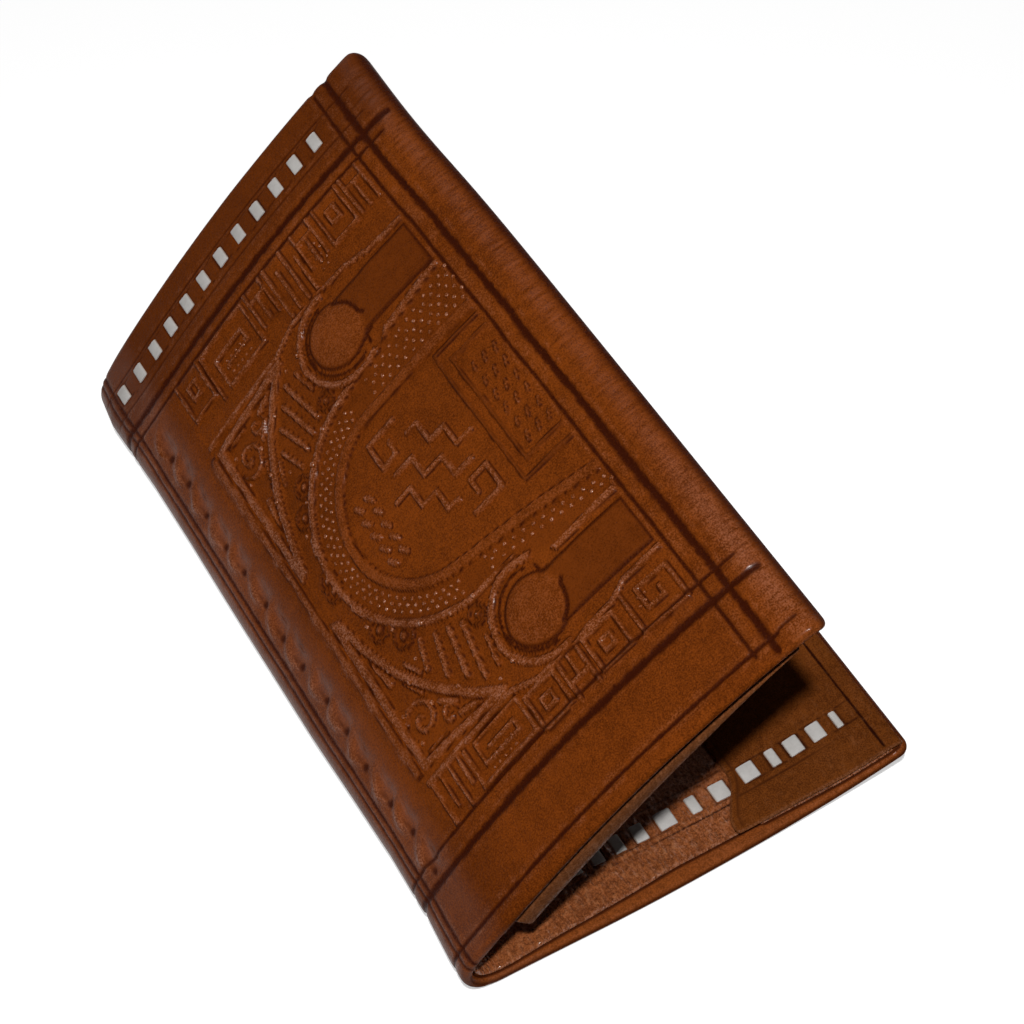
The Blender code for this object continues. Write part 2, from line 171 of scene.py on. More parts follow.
# Smooth seeded noise between -1 and 1 over a plane. The offset keeps cell numbers positive.
def smoothNoise(x, y, scaleX, scaleY, seed, cells=64, offset=1000):
    table = np.random.default_rng(seed).uniform(-1, 1, (cells, cells))
    x, y = x / scaleX + offset, y / scaleY + offset
    i, j = np.floor(x).astype(int), np.floor(y).astype(int)
    u, w = x - i, y - j
    u, w = u * u * (3 - 2 * u), w * w * (3 - 2 * w)
    i, j = i % cells, j % cells
    k, m = (i + 1) % cells, (j + 1) % cells
    low = table[i, j] * (1 - u) + table[k, j] * u
    high = table[i, m] * (1 - u) + table[k, m] * u
    return low * (1 - w) + high * w


# 1 where distance is below half, falling to 0 over a soft edge
def soft(distance, half, blur):
    return rise(half + blur / 2 - distance, 0, blur)


def segmentDistance(x, y, start, end):
    runX, runY = end[0] - start[0], end[1] - start[1]
    size = runX * runX + runY * runY + tiny
    place = np.clip(((x - start[0]) * runX + (y - start[1]) * runY) / size, 0, 1)
    return np.hypot(x - start[0] - place * runX, y - start[1] - place * runY)


def pathDistance(x, y, points):
    distances = [segmentDistance(x, y, start, end) for start, end in zip(points, points[1:])]
    return np.minimum.reduce(distances)


# Distance to a closed outline, positive inside it
def insetFrom(x, y, corners):
    closed = corners + corners[:1]
    inside = np.zeros(x.shape, bool)
    for start, end in zip(closed, closed[1:]):
        crosses = (start[1] > y) != (end[1] > y)
        slope = (end[0] - start[0]) / (end[1] - start[1] + tiny)
        inside ^= crosses & (x < slope * (y - start[1]) + start[0])
    return np.where(inside, 1, -1) * pathDistance(x, y, closed)


def arcPoints(centre, radius, start, end, steps=28):
    angles = np.radians(np.linspace(start, end, steps))
    return [(centre[0] + radius * math.cos(a), centre[1] + radius * math.sin(a)) for a in angles]


# Lines from start to end no wider than coarse, and finer inside each window. A sliver
# at the end joins the line before it.
def gridLines(start, end, coarse, windows):
    lines = [start]
    while lines[-1] < end - sameLine:
        here, step = lines[-1], coarse
        for low, high, fine in windows:
            if low <= here + sameLine < high:
                step = min(step, fine)
            elif here < low < here + step:
                step = max(fine, low - here)
        lines.append(min(here + step, end))
    if lines[-1] - lines[-2] < 0.3 * (lines[-2] - lines[-3]):
        del lines[-2]
    return np.array(lines)


# Triangles between two closed loops, both with their places round the rim, 0 to 4
def zipLoops(outer, outerAt, inner, innerAt):
    faces = []
    i = j = 0
    outerAt, innerAt = list(outerAt) + [4.0], list(innerAt) + [4.0]
    while i < len(outer) or j < len(inner):
        if i < len(outer) and (j >= len(inner) or outerAt[i + 1] <= innerAt[j + 1]):
            faces.append((outer[i], outer[(i + 1) % len(outer)], inner[j % len(inner)]))
            i += 1
        else:
            faces.append((outer[i % len(outer)], inner[(j + 1) % len(inner)], inner[j]))
            j += 1
    return faces


# Rows and columns of a grid's outline, with the place of each point round the rim
def outline(rows, columns):
    corners = [(0, 0), (rows, 0), (rows, columns), (0, columns)]
    sides = [(1, 0), (0, 1), (-1, 0), (0, -1)]
    places, at = [], []
    for index, ((row, column), (down, across)) in enumerate(zip(corners, sides)):
        steps = rows if down else columns
        for step in range(steps):
            places.append((row + down * step, column + across * step))
            at.append(index + step / steps)
    return np.array(places), np.array(at)


def meshPiece(name, points, faces, material, marks=None, sharp=40):
    mesh = bpy.data.meshes.new(name)
    mesh.from_pydata(points.tolist(), [], faces)
    body = bmesh.new()
    body.from_mesh(mesh)
    bmesh.ops.recalc_face_normals(body, faces=body.faces)
    body.to_mesh(mesh)
    body.free()
    mesh.shade_smooth()
    mesh.set_sharp_from_angle(angle=math.radians(sharp))
    for mark, values in (marks or {}).items():
        mesh.attributes.new(mark, "FLOAT", "POINT").data.foreach_set("value", values.astype(np.float32))
    mesh.materials.append(material)
    piece = bpy.data.objects.new(name, mesh)
    bpy.context.scene.collection.objects.link(piece)
    return piece


# Flat places of a sheet's fine grid, with its corners rounded. Gives them with their
# distance from the edge and the way out of the sheet there. An end that is cut, because
# the next strip of the spine goes on from it, has no edge.
def sheetGrid(girths, alongs, cuts, corner):
    girth, along = np.meshgrid(girths, alongs, indexing="ij")
    noEdge = girth * 0 + 1e3
    toStart = noEdge if cuts[0] else girth - girths[0]
    toEnd = noEdge if cuts[1] else girths[-1] - girth
    toSide, toRow = np.minimum(toStart, toEnd), np.minimum(along - alongs[0], alongs[-1] - along)
    sideSign = np.where(toStart < toEnd, -1.0, 1.0)
    rowSign = np.where(along - alongs[0] < alongs[-1] - along, -1.0, 1.0)
    x, y = np.clip((corner - toSide) / corner, 0, 1), np.clip((corner - toRow) / corner, 0, 1)
    inCorner = (x > 0) & (y > 0)
    roundX, roundY = x * np.sqrt(1 - y * y / 2), y * np.sqrt(1 - x * x / 2)
    girth = np.where(inCorner, girth + sideSign * (toSide - corner * (1 - roundX)), girth)
    along = np.where(inCorner, along + rowSign * (toRow - corner * (1 - roundY)), along)
    fromCentre = np.hypot(roundX, roundY) + tiny
    edge = np.where(inCorner, corner * (1 - fromCentre), np.minimum(toSide, toRow))
    outGirth = np.where(inCorner, sideSign * roundX / fromCentre, np.where(toSide < toRow, sideSign, 0.0))
    outAlong = np.where(inCorner, rowSign * roundY / fromCentre, np.where(toSide < toRow, 0.0, rowSign))
    return girth, along, edge, outGirth, outAlong


# Lines of the coarse grid: even ones, and extra ones where the hidden face steps
def coarseLines(start, end, extra, step, margin=0.05, apart=0.5):
    even = np.linspace(start, end, max(2, math.ceil((end - start) / step) + 1))
    steps = [line for line in extra if start + margin < line < end - margin]
    kept = [line for line in even
            if all(abs(line - other) > apart for other in steps) or line in (start, end)]
    return np.array(sorted(steps + kept))


# Quads of a grid of point numbers
def gridFaces(number, turned=False):
    corners = [number[:-1, :-1], number[1:, :-1], number[1:, 1:], number[:-1, 1:]]
    order = (0, 3, 2, 1) if turned else (0, 1, 2, 3)
    return np.stack([corners[index] for index in order], -1).reshape(-1, 4).tolist()


# A closed sheet of leather bent from its flat pattern. The shown face is a fine grid,
# the other one is coarse, and rings between them roll over every edge that isn't cut.
# shown(girth, along, edge) gives the depth of the fine face and its marks, and
# hidden(girth, along) the depth of the coarse one.
def makeSheet(name, girths, alongs, cuts, shown, hidden, rim, innerLines, material, shift=None):
    girth, along, edge, outGirth, outAlong = sheetGrid(girths, alongs, cuts, rim["corner"])
    depth, marks = shown(girth, along, edge)

    def place(girth, along, depth):
        return bend(*(shift(girth, along) if shift else (girth, along)), depth).reshape(-1, 3)

    number = np.arange(girth.size).reshape(girth.shape)
    points = [place(girth, along, depth)]
    values = {mark: [field.ravel()] for mark, field in marks.items()}
    faces = gridFaces(number)

    # Rings round the rim
    rows, columns = len(girths) - 1, len(alongs) - 1
    places, at = outline(rows, columns)
    row, column = places[:, 0], places[:, 1]
    onCut = ((row == 0) & cuts[0]) | ((row == rows) & cuts[1])
    loop = number[row, column]
    rimGirth, rimAlong, rimDepth = girth[row, column], along[row, column], depth[row, column]
    inwards = 1 - 2 * (rimAlong - alongs[0]) / (alongs[-1] - alongs[0])
    count = girth.size
    turns = [(rim["in"] * (1 - math.cos(math.radians(turn))), math.sin(math.radians(turn)))
             for turn in rim["turns"]]
    nearSide = np.clip(-outAlong[row, column], 0, 1)
    lean = 1 + rim.get("lean", 0) * nearSide
    for index, (inset, part) in enumerate(turns + [(flat, 1.0) for flat in rim["flats"]]):
        inset = inset * lean
        ringGirth = np.where(onCut, rimGirth, rimGirth - inset * outGirth[row, column])
        ringAlong = rimAlong + inset * np.where(onCut, inwards, -outAlong[row, column])
        ringDepth = rimDepth + (hidden(ringGirth, ringAlong) - rimDepth) * part
        points.append(place(ringGirth, ringAlong, ringDepth))
        ring = np.arange(count, count + len(loop))
        count += len(loop)
        levels = rim["marks"](index, inset, rimGirth, nearSide)
        for mark, field in marks.items():
            values[mark].append(np.maximum(field[row, column] * rim["fade"], levels.get(mark, 0)))
        faces += np.stack([loop, np.roll(loop, -1), np.roll(ring, -1), ring], -1).tolist()
        loop = ring

    # Coarse hidden face, joined to the last ring
    starts = [girths[0] + (rim["cutIn"] if cuts[0] else rim["inner"]), alongs[0] + rim["inner"]]
    ends = [girths[-1] - (rim["cutIn"] if cuts[1] else rim["inner"]), alongs[-1] - rim["inner"]]
    coarse = [coarseLines(*facts) for facts in zip(starts, ends, innerLines, rim["innerSteps"])]
    innerGirth, innerAlong = np.meshgrid(*coarse, indexing="ij")
    points.append(place(innerGirth, innerAlong, hidden(innerGirth, innerAlong)))
    for mark in marks:
        values[mark].append(np.zeros(innerGirth.size))
    inner = np.arange(count, count + innerGirth.size).reshape(innerGirth.shape)
    faces += gridFaces(inner, turned=True)
    innerPlaces, innerAt = outline(innerGirth.shape[0] - 1, innerGirth.shape[1] - 1)
    faces += zipLoops(loop.tolist(), at, inner[innerPlaces[:, 0], innerPlaces[:, 1]].tolist(), innerAt)
    marksDone = {mark: np.concatenate(fields) for mark, fields in values.items()}
    return meshPiece(name, np.concatenate(points) * mm, faces, material, marksDone)


# Wraps one output socket of a node tree, so that expressions on it add nodes
class Socket:
    def __init__(self, tree, socket=None):
        self.tree = tree
        self.socket = socket

    # Adds a node and gives one of its outputs: settings first, then values or links by socket
    def node(self, kind, settings, values, output=0):
        made = self.tree.nodes.new(kind)
        for name, value in settings.items():
            setattr(made, name, value)
        for name, value in values.items():
            if isinstance(value, Socket):
                self.tree.links.new(value.socket, made.inputs[name])
            else:
                made.inputs[name].default_value = value
        return Socket(self.tree, made.outputs[output] if made.outputs else None)

    def math(self, operation, *others, clamp=False):
        settings = {"operation": operation, "use_clamp": clamp}
        return self.node("ShaderNodeMath", settings, dict(enumerate((self,) + others)))

    def __add__(self, other):
        return self.math("ADD", other)

    def __mul__(self, other):
        return self.math("MULTIPLY", other)

    def __sub__(self, other):
        return self.math("SUBTRACT", other)

    def __rsub__(self, other):
        return self.node("ShaderNodeMath", {"operation": "SUBTRACT"}, {0: other, 1: self})

    __radd__ = __add__
    __rmul__ = __mul__

    def smooth(self, low, high):
        settings = {"interpolation_type": "SMOOTHSTEP"}
        return self.node("ShaderNodeMapRange", settings, {"Value": self, "From Min": low, "From Max": high})

    def mix(self, low, high):
        settings = {"data_type": "RGBA", "blend_type": "MIX"}
        return self.node("ShaderNodeMix", settings, {"Factor": self, 6: low, 7: high}, 2)


def startMaterial(name):
    material = bpy.data.materials.new(name)
    material.use_nodes = True
    material.node_tree.nodes.clear()
    return material, Socket(material.node_tree)


def endMaterial(shade, surface):
    shade.node("ShaderNodeOutputMaterial", {}, {"Surface": surface})


def noise(shade, place, size, detail=2.0, rough=0.5, stretch=None):
    if stretch:
        place = shade.node("ShaderNodeMapping", {}, {"Vector": place, "Scale": stretch})
    values = {"Vector": place, "Scale": 1 / (size * mm), "Detail": detail, "Roughness": rough}
    return shade.node("ShaderNodeTexNoise", {}, values)


def rgb(red, green, blue):
    return (red, green, blue, 1.0)


# Leather finishes: light and deep are the two tones of the hide, the burnt tone colours
# the pressed lines and the painted shade, pale the rubbed places and the painted highlights
# and glints, aged the darkened ends. Sizes and depths in mm.
finishes = {
    "cover_leather": {
        "light": rgb(0.262, 0.0560, 0.0055), "deep": rgb(0.098, 0.0192, 0.0016),
        "burnt": rgb(0.040, 0.0058, 0.0009), "pale": rgb(0.46, 0.150, 0.045),
        "aged": rgb(0.098, 0.0200, 0.0025), "cloud": 26.0, "mottle": 2.2, "pores": 0.62, "grain": 0.30,
        "poreDepth": 0.09, "grainDepth": 0.15, "crimpDepth": 0.18, "rough": 0.42, "specular": 0.02,
        "coatRough": 0.22, "glint": 0.85, "sheen": 0.55, "spark": 0.26, "rub": 0.035,
        "crimpTone": 1.2, "calm": 0.75, "cracks": 0.0,
    },
    "liner_leather": {
        "light": rgb(0.340, 0.096, 0.025), "deep": rgb(0.150, 0.0380, 0.0095),
        "burnt": rgb(0.026, 0.0046, 0.0015), "pale": rgb(0.55, 0.24, 0.110),
        "aged": rgb(0.150, 0.0380, 0.0080), "cloud": 18.0, "mottle": 1.6, "pores": 0.85, "grain": 0.34,
        "poreDepth": 0.15, "grainDepth": 0.14, "crimpDepth": 0.8, "rough": 0.38, "specular": 0.05,
        "coatRough": 0.2, "glint": 1.3, "sheen": 0.5, "spark": 0.13, "rub": 0.06,
        "crimpTone": 1.3, "calm": 0.0, "cracks": 0.65,
    },
    "pocket_leather": {
        "light": rgb(0.195, 0.0520, 0.0080), "deep": rgb(0.074, 0.0180, 0.0027),
        "burnt": rgb(0.022, 0.0040, 0.0014), "pale": rgb(0.30, 0.125, 0.055),
        "aged": rgb(0.090, 0.0230, 0.0036), "cloud": 16.0, "mottle": 1.8, "pores": 0.42, "grain": 0.28,
        "poreDepth": 0.05, "grainDepth": 0.08, "crimpDepth": 0.12, "rough": 0.5, "specular": 0.022,
        "coatRough": 0.26, "glint": 0.7, "sheen": 0.5, "spark": 0.3, "rub": 0.10,
        "crimpTone": 1.2, "calm": 0.75, "cracks": 0.3,
    },
}
# What the three leathers share: sizes in mm, shares of each noise in a tone, and ranges
hide = {
    "ribs": 0.7, "ribStretch": (0.16, 1.0, 0.16), "ribTone": 1.1, "ribDepth": 0.20,
    "crimps": 0.75, "crimpStretch": (1.0, 0.52, 0.52), "crimpSparks": (0.53, 0.66), "crimpSpark": 2.2,
    "fissures": 1.15, "fissureStretch": (1.0, 0.6, 0.6), "fissureHalf": 0.040, "fissureBlur": 0.034,
    "fissureDark": 0.62, "cloudTone": 1.1, "mottleTone": 0.8, "grainTone": 2.3, "tones": (1.45, 2.75),
    "agedShare": 0.8, "darks": (0.12, 0.95), "darkLevel": 1.15, "darkGrain": 2.6, "darkMottle": 0.5,
    "specks": (0.46, 0.6), "mottleDepth": 0.03, "mottleRough": 0.2, "calmRough": 0.4, "ribGleam": 4,
}


def leatherMaterial(name):
    finish = finishes[name]
    material, shade = startMaterial(name + "_look")
    place = shade.node("ShaderNodeTexCoord", {}, {}, "Object")
    marks = ("dark", "worn", "sheen", "ribbed", "crimp", "aged")
    dark, worn, sheen, ribbed, crimp, aged = [
        shade.node("ShaderNodeAttribute", {"attribute_name": mark}, {}, "Fac") for mark in marks]
    cloud = noise(shade, place, finish["cloud"], 3.0, 0.55)
    mottle = noise(shade, place, finish["mottle"], 4.0, 0.6)
    grain = noise(shade, place, finish["grain"], 2.0, 0.6)
    ribs = noise(shade, place, hide["ribs"], 2.0, 0.5, hide["ribStretch"])
    crimps = noise(shade, place, hide["crimps"], 3.0, 0.6, hide["crimpStretch"])
    fissures = noise(shade, place, hide["fissures"], 2.0, 0.55, hide["fissureStretch"])
    pores = shade.node("ShaderNodeTexVoronoi", {"feature": "F1"},
                       {"Vector": place, "Scale": 1 / (finish["pores"] * mm), "Randomness": 1.0}, "Distance")

    # Two tones of the hide, darkened by age, tool lines and fissures, and by the painted shade that the dark
    # mark also carries
    tone = cloud * hide["cloudTone"] + mottle * hide["mottleTone"] + grain * hide["grainTone"]
    tone = tone + (ribs - 0.5) * ribbed * hide["ribTone"] + (crimps - 0.5) * crimp * finish["crimpTone"]
    colour = tone.smooth(*hide["tones"]).mix(finish["deep"], finish["light"])
    colour = (aged * hide["agedShare"]).mix(colour, finish["aged"])
    uneven = (grain - 0.5) * hide["darkGrain"] + (mottle - 0.5) * hide["darkMottle"] + hide["darkLevel"]
    # Share of the burnt tone, from the dark mark: pressed lines and marks, and painted shade
    darkAndShade = (dark * uneven).smooth(*hide["darks"])
    colour = darkAndShade.mix(colour, finish["burnt"])
    cracked = crimp * finish["cracks"]
    crack = (hide["fissureHalf"] - (fissures - 0.5).math("ABSOLUTE")).smooth(0.0, hide["fissureBlur"])
    colour = (crack * cracked * hide["fissureDark"]).mix(colour, finish["burnt"])

    # Rubbed places and painted highlights: the colour is painted paler in specks as painted glints, and
    # evenly where the leather is calm; the coat follows the same specks
    speck = (grain * 0.6 + mottle * 0.2 + crimps * crimp * 0.25 + (1 - crimp) * 0.1).smooth(*hide["specks"])
    calm = crimp * finish["calm"]
    spark = worn * (speck + (0.5 - speck) * calm)
    spark = spark + crimps.smooth(*hide["crimpSparks"]) * cracked * hide["crimpSpark"]
    glint = worn * speck * (1 - calm)
    colour = (spark * finish["spark"] + worn * finish["rub"]).mix(colour, finish["pale"])
    gleam = sheen * finish["sheen"] * (1 + (ribs - 0.5) * ribbed * hide["ribGleam"])
    coat = (glint * finish["glint"] + gleam) * (1 - darkAndShade * 0.8)

    height = pores * finish["poreDepth"] + grain * finish["grainDepth"] + mottle * hide["mottleDepth"]
    height = height + ribs * ribbed * hide["ribDepth"] + crimps * crimp * finish["crimpDepth"]
    normal = shade.node("ShaderNodeBump", {}, {"Strength": 1.0, "Distance": 1 * mm, "Height": height})
    rough = finish["rough"] + (mottle - 0.5) * hide["mottleRough"] + calm * hide["calmRough"]
    surface = shade.node("ShaderNodeBsdfPrincipled", {}, {
        "Base Color": colour, "Roughness": rough, "Normal": normal, "Coat Weight": coat,
        "Coat Roughness": finish["coatRough"], "Specular IOR Level": finish["specular"]})
    endMaterial(shade, surface)
    return material


laceFinish = {
    "white": rgb(0.60, 0.575, 0.55), "shaded": rgb(0.50, 0.475, 0.45), "soiled": rgb(0.30, 0.20, 0.13),
    "cloud": 3.0, "crease": 0.55, "creaseDepth": 0.06, "bump": 0.6, "rough": 0.62, "specular": 0.2,
}


def laceMaterial():
    material, shade = startMaterial("lace_look")
    place = shade.node("ShaderNodeTexCoord", {}, {}, "Object")
    dark = shade.node("ShaderNodeAttribute", {"attribute_name": "dark"}, {}, "Fac")
    cloud = noise(shade, place, laceFinish["cloud"], 3.0, 0.6)
    crease = noise(shade, place, laceFinish["crease"], 3.0, 0.65)
    colour = (cloud * 0.7 + crease * 0.3).smooth(0.3, 0.7).mix(laceFinish["shaded"], laceFinish["white"])
    colour = dark.smooth(0.0, 1.0).mix(colour, laceFinish["soiled"])
    normal = shade.node("ShaderNodeBump", {}, {"Strength": laceFinish["bump"], "Distance": 1 * mm,
                                               "Height": crease * laceFinish["creaseDepth"]})
    surface = shade.node("ShaderNodeBsdfPrincipled", {}, {
        "Base Color": colour, "Roughness": laceFinish["rough"] + crease * 0.1, "Normal": normal,
        "Specular IOR Level": laceFinish["specular"]})
    endMaterial(shade, surface)
    return material


coverLook = leatherMaterial("cover_leather")
linerLook = leatherMaterial("liner_leather")
pocketLook = leatherMaterial("pocket_leather")
laceLook = laceMaterial()
print("materials made")

# Rows of white lace, sizes in mm, the same as in the solid model. Stitches are
# (middle, length), proud is how far a stitch of each half's cover row stands out.
lacing = {
    "thickness": 0.5, "width": 3.6, "edge": 0.10, "edgeSteps": 3, "tail": 1.9,
    "bow": 0.05, "turnRadius": 0.26, "turnSteps": 4,
    "coverRow": far - 9.2, "coverStitch": 2.8, "coverPitch": 6.2, "coverFirst": 2.4, "coverCount": 12,
    "linerRow": near + 12.2,
    "linerStitches": [(21.6, 2.6), (26.4, 2.6), (31.1, 2.4), (35.8, 2.8), (41.5, 3.8), (47.7, 2.4),
                      (53.6, 3.6), (60.1, 3.8), (65.7, 2.2), (70.4, 3.4), (75.6, 3.2), (80.2, 1.6)],
    "proud": {-1: -0.04, 1: 0.12}, "behind": 0.28, "linerProud": 0.1, "pinch": 0.9, "spread": 0.12,
    "bedMargin": 0.2, "bedDepth": 0.18, "sideDepth": 0.14, "slitDark": 0.85, "rowDark": 0.16, "sideDark": 0.7,
}
coverStitches = [(lacing["coverFirst"] + index * lacing["coverPitch"], lacing["coverStitch"])
                 for index in range(lacing["coverCount"])]
linerStitches = lacing["linerStitches"]


# Soft hollows under the stitches of a row, and painted shade with some burnish round their slits
def laceBed(s, along, row, stitches):
    half, margin = lacing["width"] / 2, lacing["bedMargin"]
    press, dark = s * 0, s * 0
    across = np.abs(along - row)
    for middle, size in stitches:
        reach = np.abs(s - middle)
        press = np.maximum(press, soft(reach, size / 2 + margin, 0.5) * soft(across, half + margin, 0.6))
        slit = soft(np.abs(reach - size / 2 - 0.12), 0.12, 0.4) * soft(across, half + 0.25, 0.5)
        dark = np.maximum(dark, lacing["slitDark"] * slit)
    first, last = stitches[0][0] - 4, stitches[-1][0] + 4
    inRow = soft(np.abs(s - (first + last) / 2), (last - first) / 2, 2.0)
    ragged = across + 0.25 * smoothNoise(s, along, 1.1, 0.8, 11)
    dark = np.maximum(dark, inRow * lacing["rowDark"] * soft(ragged, half + margin, 0.6))
    side = soft(np.abs(ragged - half - 0.4), 0.12, 0.4) * inRow
    bed = lacing["bedDepth"] * press + lacing["sideDepth"] * side
    return bed, np.maximum(dark, lacing["sideDark"] * side)


# Tool lines as (start, end, half width, depth, darkness), places as (reach, from the plain edge)
frontLines = [
    ((-14, 3.8), (81.5, 3.8), 0.44, 0.23, 0.87),
    ((-14, 16.0), (85.8, 16.0), 0.80, 0.34, 0.97),
    ((-14, 20.3), (84.0, 20.3), 0.42, 0.23, 0.82),
    ((-14, 141.0), (86.2, 141.0), 0.79, 0.34, 0.97),
    ((-14, 138.0), (83.5, 138.0), 0.47, 0.23, 0.82),
    ((-3, 145.0), (82.5, 145.0), 0.31, 0.16, 0.56),
    ((-3, 151.7), (83.0, 151.7), 0.31, 0.16, 0.61),
    ((79.7, 1.6), (79.7, 157.4), 0.82, 0.34, 0.97),
    ((76.0, 2.8), (76.0, 156.2), 0.44, 0.23, 0.82),
    ((0.0, 0.0), (0.0, 158.0), 0.47, 0.23, 0.77),
    ((-1.7, 0.0), (-1.7, 158.0), 0.39, 0.21, 0.71),
    ((81.8, 4.2), (85.6, 4.4), 0.39, 0.21, 0.71),
    ((81.0, 17.6), (86.6, 17.9), 0.39, 0.23, 0.51),
    ((81.0, 19.6), (85.8, 19.8), 0.34, 0.18, 0.41),
    ((81.0, 147.2), (86.4, 147.5), 0.34, 0.16, 0.41),
    ((81.0, 152.6), (85.6, 152.9), 0.31, 0.16, 0.41),
]
backLines = [
    ((-14, 3.8), (81.5, 3.8), 0.44, 0.21, 0.82),
    ((-14, 16.0), (85.8, 16.0), 0.79, 0.30, 0.92),
    ((-14, 20.3), (84.0, 20.3), 0.42, 0.21, 0.77),
    ((-14, 141.0), (86.2, 141.0), 0.79, 0.30, 0.92),
    ((-14, 138.0), (83.5, 138.0), 0.47, 0.21, 0.77),
    ((-3, 145.0), (82.5, 145.0), 0.31, 0.14, 0.51),
    ((-3, 151.7), (83.0, 151.7), 0.31, 0.14, 0.51),
    ((79.7, 1.6), (79.7, 157.4), 0.79, 0.30, 0.92),
    ((76.0, 2.8), (76.0, 156.2), 0.44, 0.21, 0.77),
]


# How uneven a hand-pressed line is, as (share, size, seed), how far its dark reaches
# past its groove, and how much less a line presses where another one has gone
handTool = {"ragged": [(0.22, 1.3, 5), (0.18, 9, 6), (0.25, 0.6, 7)], "darkReach": 1.08, "crossing": 0.35,
            "lipAt": 1.9, "lipWidth": 0.3}


# Adds pressed lines to a relief and to its dark mark
def pressLines(s, v, lines, relief, dark):
    ragged = 1 + sum(share * smoothNoise(s, v, size, size, seed) for share, size, seed in handTool["ragged"])
    for start, end, half, deep, darkness in lines:
        away = segmentDistance(s, v, start, end) / (half * ragged)
        already = np.clip(-relief / 0.3, 0, 1)
        relief = relief - deep * np.exp(-away ** 2) * (1 - handTool["crossing"] * already)
        dark = np.maximum(dark, darkness * np.exp(-(away / handTool["darkReach"]) ** 2))
    return relief, dark


# Painted highlights on the lips beside the pressed lines, broken here and there
def lineEdgeHighlights(s, v, lines):
    lips = s * 0
    for start, end, half, deep, darkness in lines:
        away = segmentDistance(s, v, start, end)
        lip = hump(away, handTool["lipAt"] * half, handTool["lipWidth"] + 0.1 * half)
        lips = np.maximum(lips, darkness * lip)
    return lips * np.clip(0.45 + 0.8 * smoothNoise(s, v, 1.4, 1.4, 8), 0, 1)


# The pressed panel of the front: a medallion whose beaded band runs out to the free
# edge, two bosses with broad tongues, key borders and framed corner fields. Places are
# (reach, from the plain edge) in mm, and one half mirrors the other about the middle.
panel = {
    "left": 11.0, "right": 75.2, "low": 18.6, "high": 138.0, "middle": 75.5,
    "ridge": 0.56, "floor": 0.24, "cutDepth": 0.24, "lineHalf": 0.46, "flank": 0.44,
    "centre": (46.2, 75.5), "innerRadius": 20.3, "outerRadius": 25.3, "ringWidth": 2.1, "rimInset": 0.95,
    "bossReach": 50.5, "bossAway": 36.8, "outlineRadius": 9.7, "outlineArc": (66, 278, 24),
    "outlineTail": [(4.0, 9.0), (5.0, 10.6)], "fineInset": 1.75, "fineArc": (72, 268, 24),
    "domeRadius": 7.2, "domeHeight": 0.55, "bodyHeight": 0.78, "tongueHalf": 5.7, "tongueEnd": 24.6,
    "hookRadius": 6.0, "hookArc": (-62, 2, 9), "hookEnd": (6.9, 0.6),
    "notch": [(4.3, 6.6), (4.6, 4.6), (6.2, 4.4)],
    "rail": 12.2, "railFrom": 33.0, "railTo": 118.0, "railHalf": 0.95,
}
bandInside = [(90, 96.6), (75.2, 95.9), (52, 95.7)] + arcPoints(
    panel["centre"], panel["innerRadius"], 93, 260) + [(75.2, 49.7), (90, 47.2)]
bandOutside = [(90, 108.5), (75.2, 106.4), (53.2, 102.8)] + arcPoints(
    panel["centre"], panel["outerRadius"], 99, 262) + [(53.2, 50.0), (54.8, 45.3), (75.2, 46.2), (90, 46.4)]
cornerFrame = [(13.6, 70.6), (16.6, 69.0), (18.2, 61.0), (21.4, 51.6), (26.6, 43.0), (32.0, 36.8),
               (37.8, 32.2), (37.4, 30.6), (13.6, 32.8)]
# Raised lines of one corner, mirrored for the other, as (start, end, half width),
# loops as (centre, disc, ring) and coils as (centre, size, pitch, sense)
leaves = [((17.6, 66.0), (17.2, 60.6), 0.45), ((17.4, 57.6), (18.0, 51.0), 0.85),
          ((20.6, 49.0), (22.6, 44.6), 0.6), ((27.0, 35.4), (32.6, 33.8), 0.7),
          ((17.2, 34.9), (22.0, 34.5), 0.5), ((24.6, 40.2), (27.6, 37.8), 0.55)]
drops = [((28.2, 52.2), (26.2, 46.4), 0.5), ((31.4, 50.4), (29.0, 42.6), 0.62),
         ((34.4, 49.0), (32.2, 39.4), 0.66), ((37.2, 47.6), (35.2, 36.6), 0.62),
         ((39.6, 42.0), (38.6, 36.4), 0.5), ((20.2, 68.2), (21.2, 65.2), 0.45),
         ((22.8, 51.4), (24.8, 47.2), 0.42)]
loops = [((22.4, 60.6), 1.25, 2.3), ((26.0, 55.6), 1.25, 2.3), ((40.6, 46.6), 1.0, 1.9),
         ((18.9, 74.2), 1.1, 2.0)]
coils = [((19.6, 40.6), 4.1, 2.9, 1), ((25.0, 36.6), 2.2, 2.4, -1)]

# Stepped fret of the medallion with ticks beside it, and frames with ticks beyond it
frets = [
    [(40.4, 76.0), (44.2, 76.0), (44.2, 71.0), (48.2, 71.0), (48.2, 66.2), (50.8, 66.2)],
    [(60.6, 75.0), (56.8, 75.0), (56.8, 80.0), (52.8, 80.0), (52.8, 84.8), (50.2, 84.8)],
    [(43.6, 80.4), (48.0, 80.4), (48.0, 75.5), (53.0, 75.5), (53.0, 70.6), (57.4, 70.6)],
    [(51.8, 61.6), (58.8, 61.6), (58.8, 67.4), (54.8, 67.4), (54.8, 64.4)],
    [(49.2, 89.4), (42.2, 89.4), (42.2, 83.6), (46.2, 83.6), (46.2, 86.6)],
]
boxFrames = [((63.2, 59.0), (80.0, 92.0)), ((65.8, 62.2), (80.0, 88.8))]


# Short slanting ticks in rows and columns, each leaning by so much over 1.6 mm
def ticks(start, pitch, columns, rows, lean):
    return [[(start[0] + column * pitch[0], start[1] + row * pitch[1]),
             (start[0] + column * pitch[0] + lean, start[1] + row * pitch[1] + 1.6)]
            for column in range(columns) for row in range(rows)]


frets += ticks((33.5, 67.0), (3.2, 3.4), 2, 5, -1.0)
boxTicks = ticks((68.0, 64.6), (2.7, 3.7), 3, 6, 0.6)

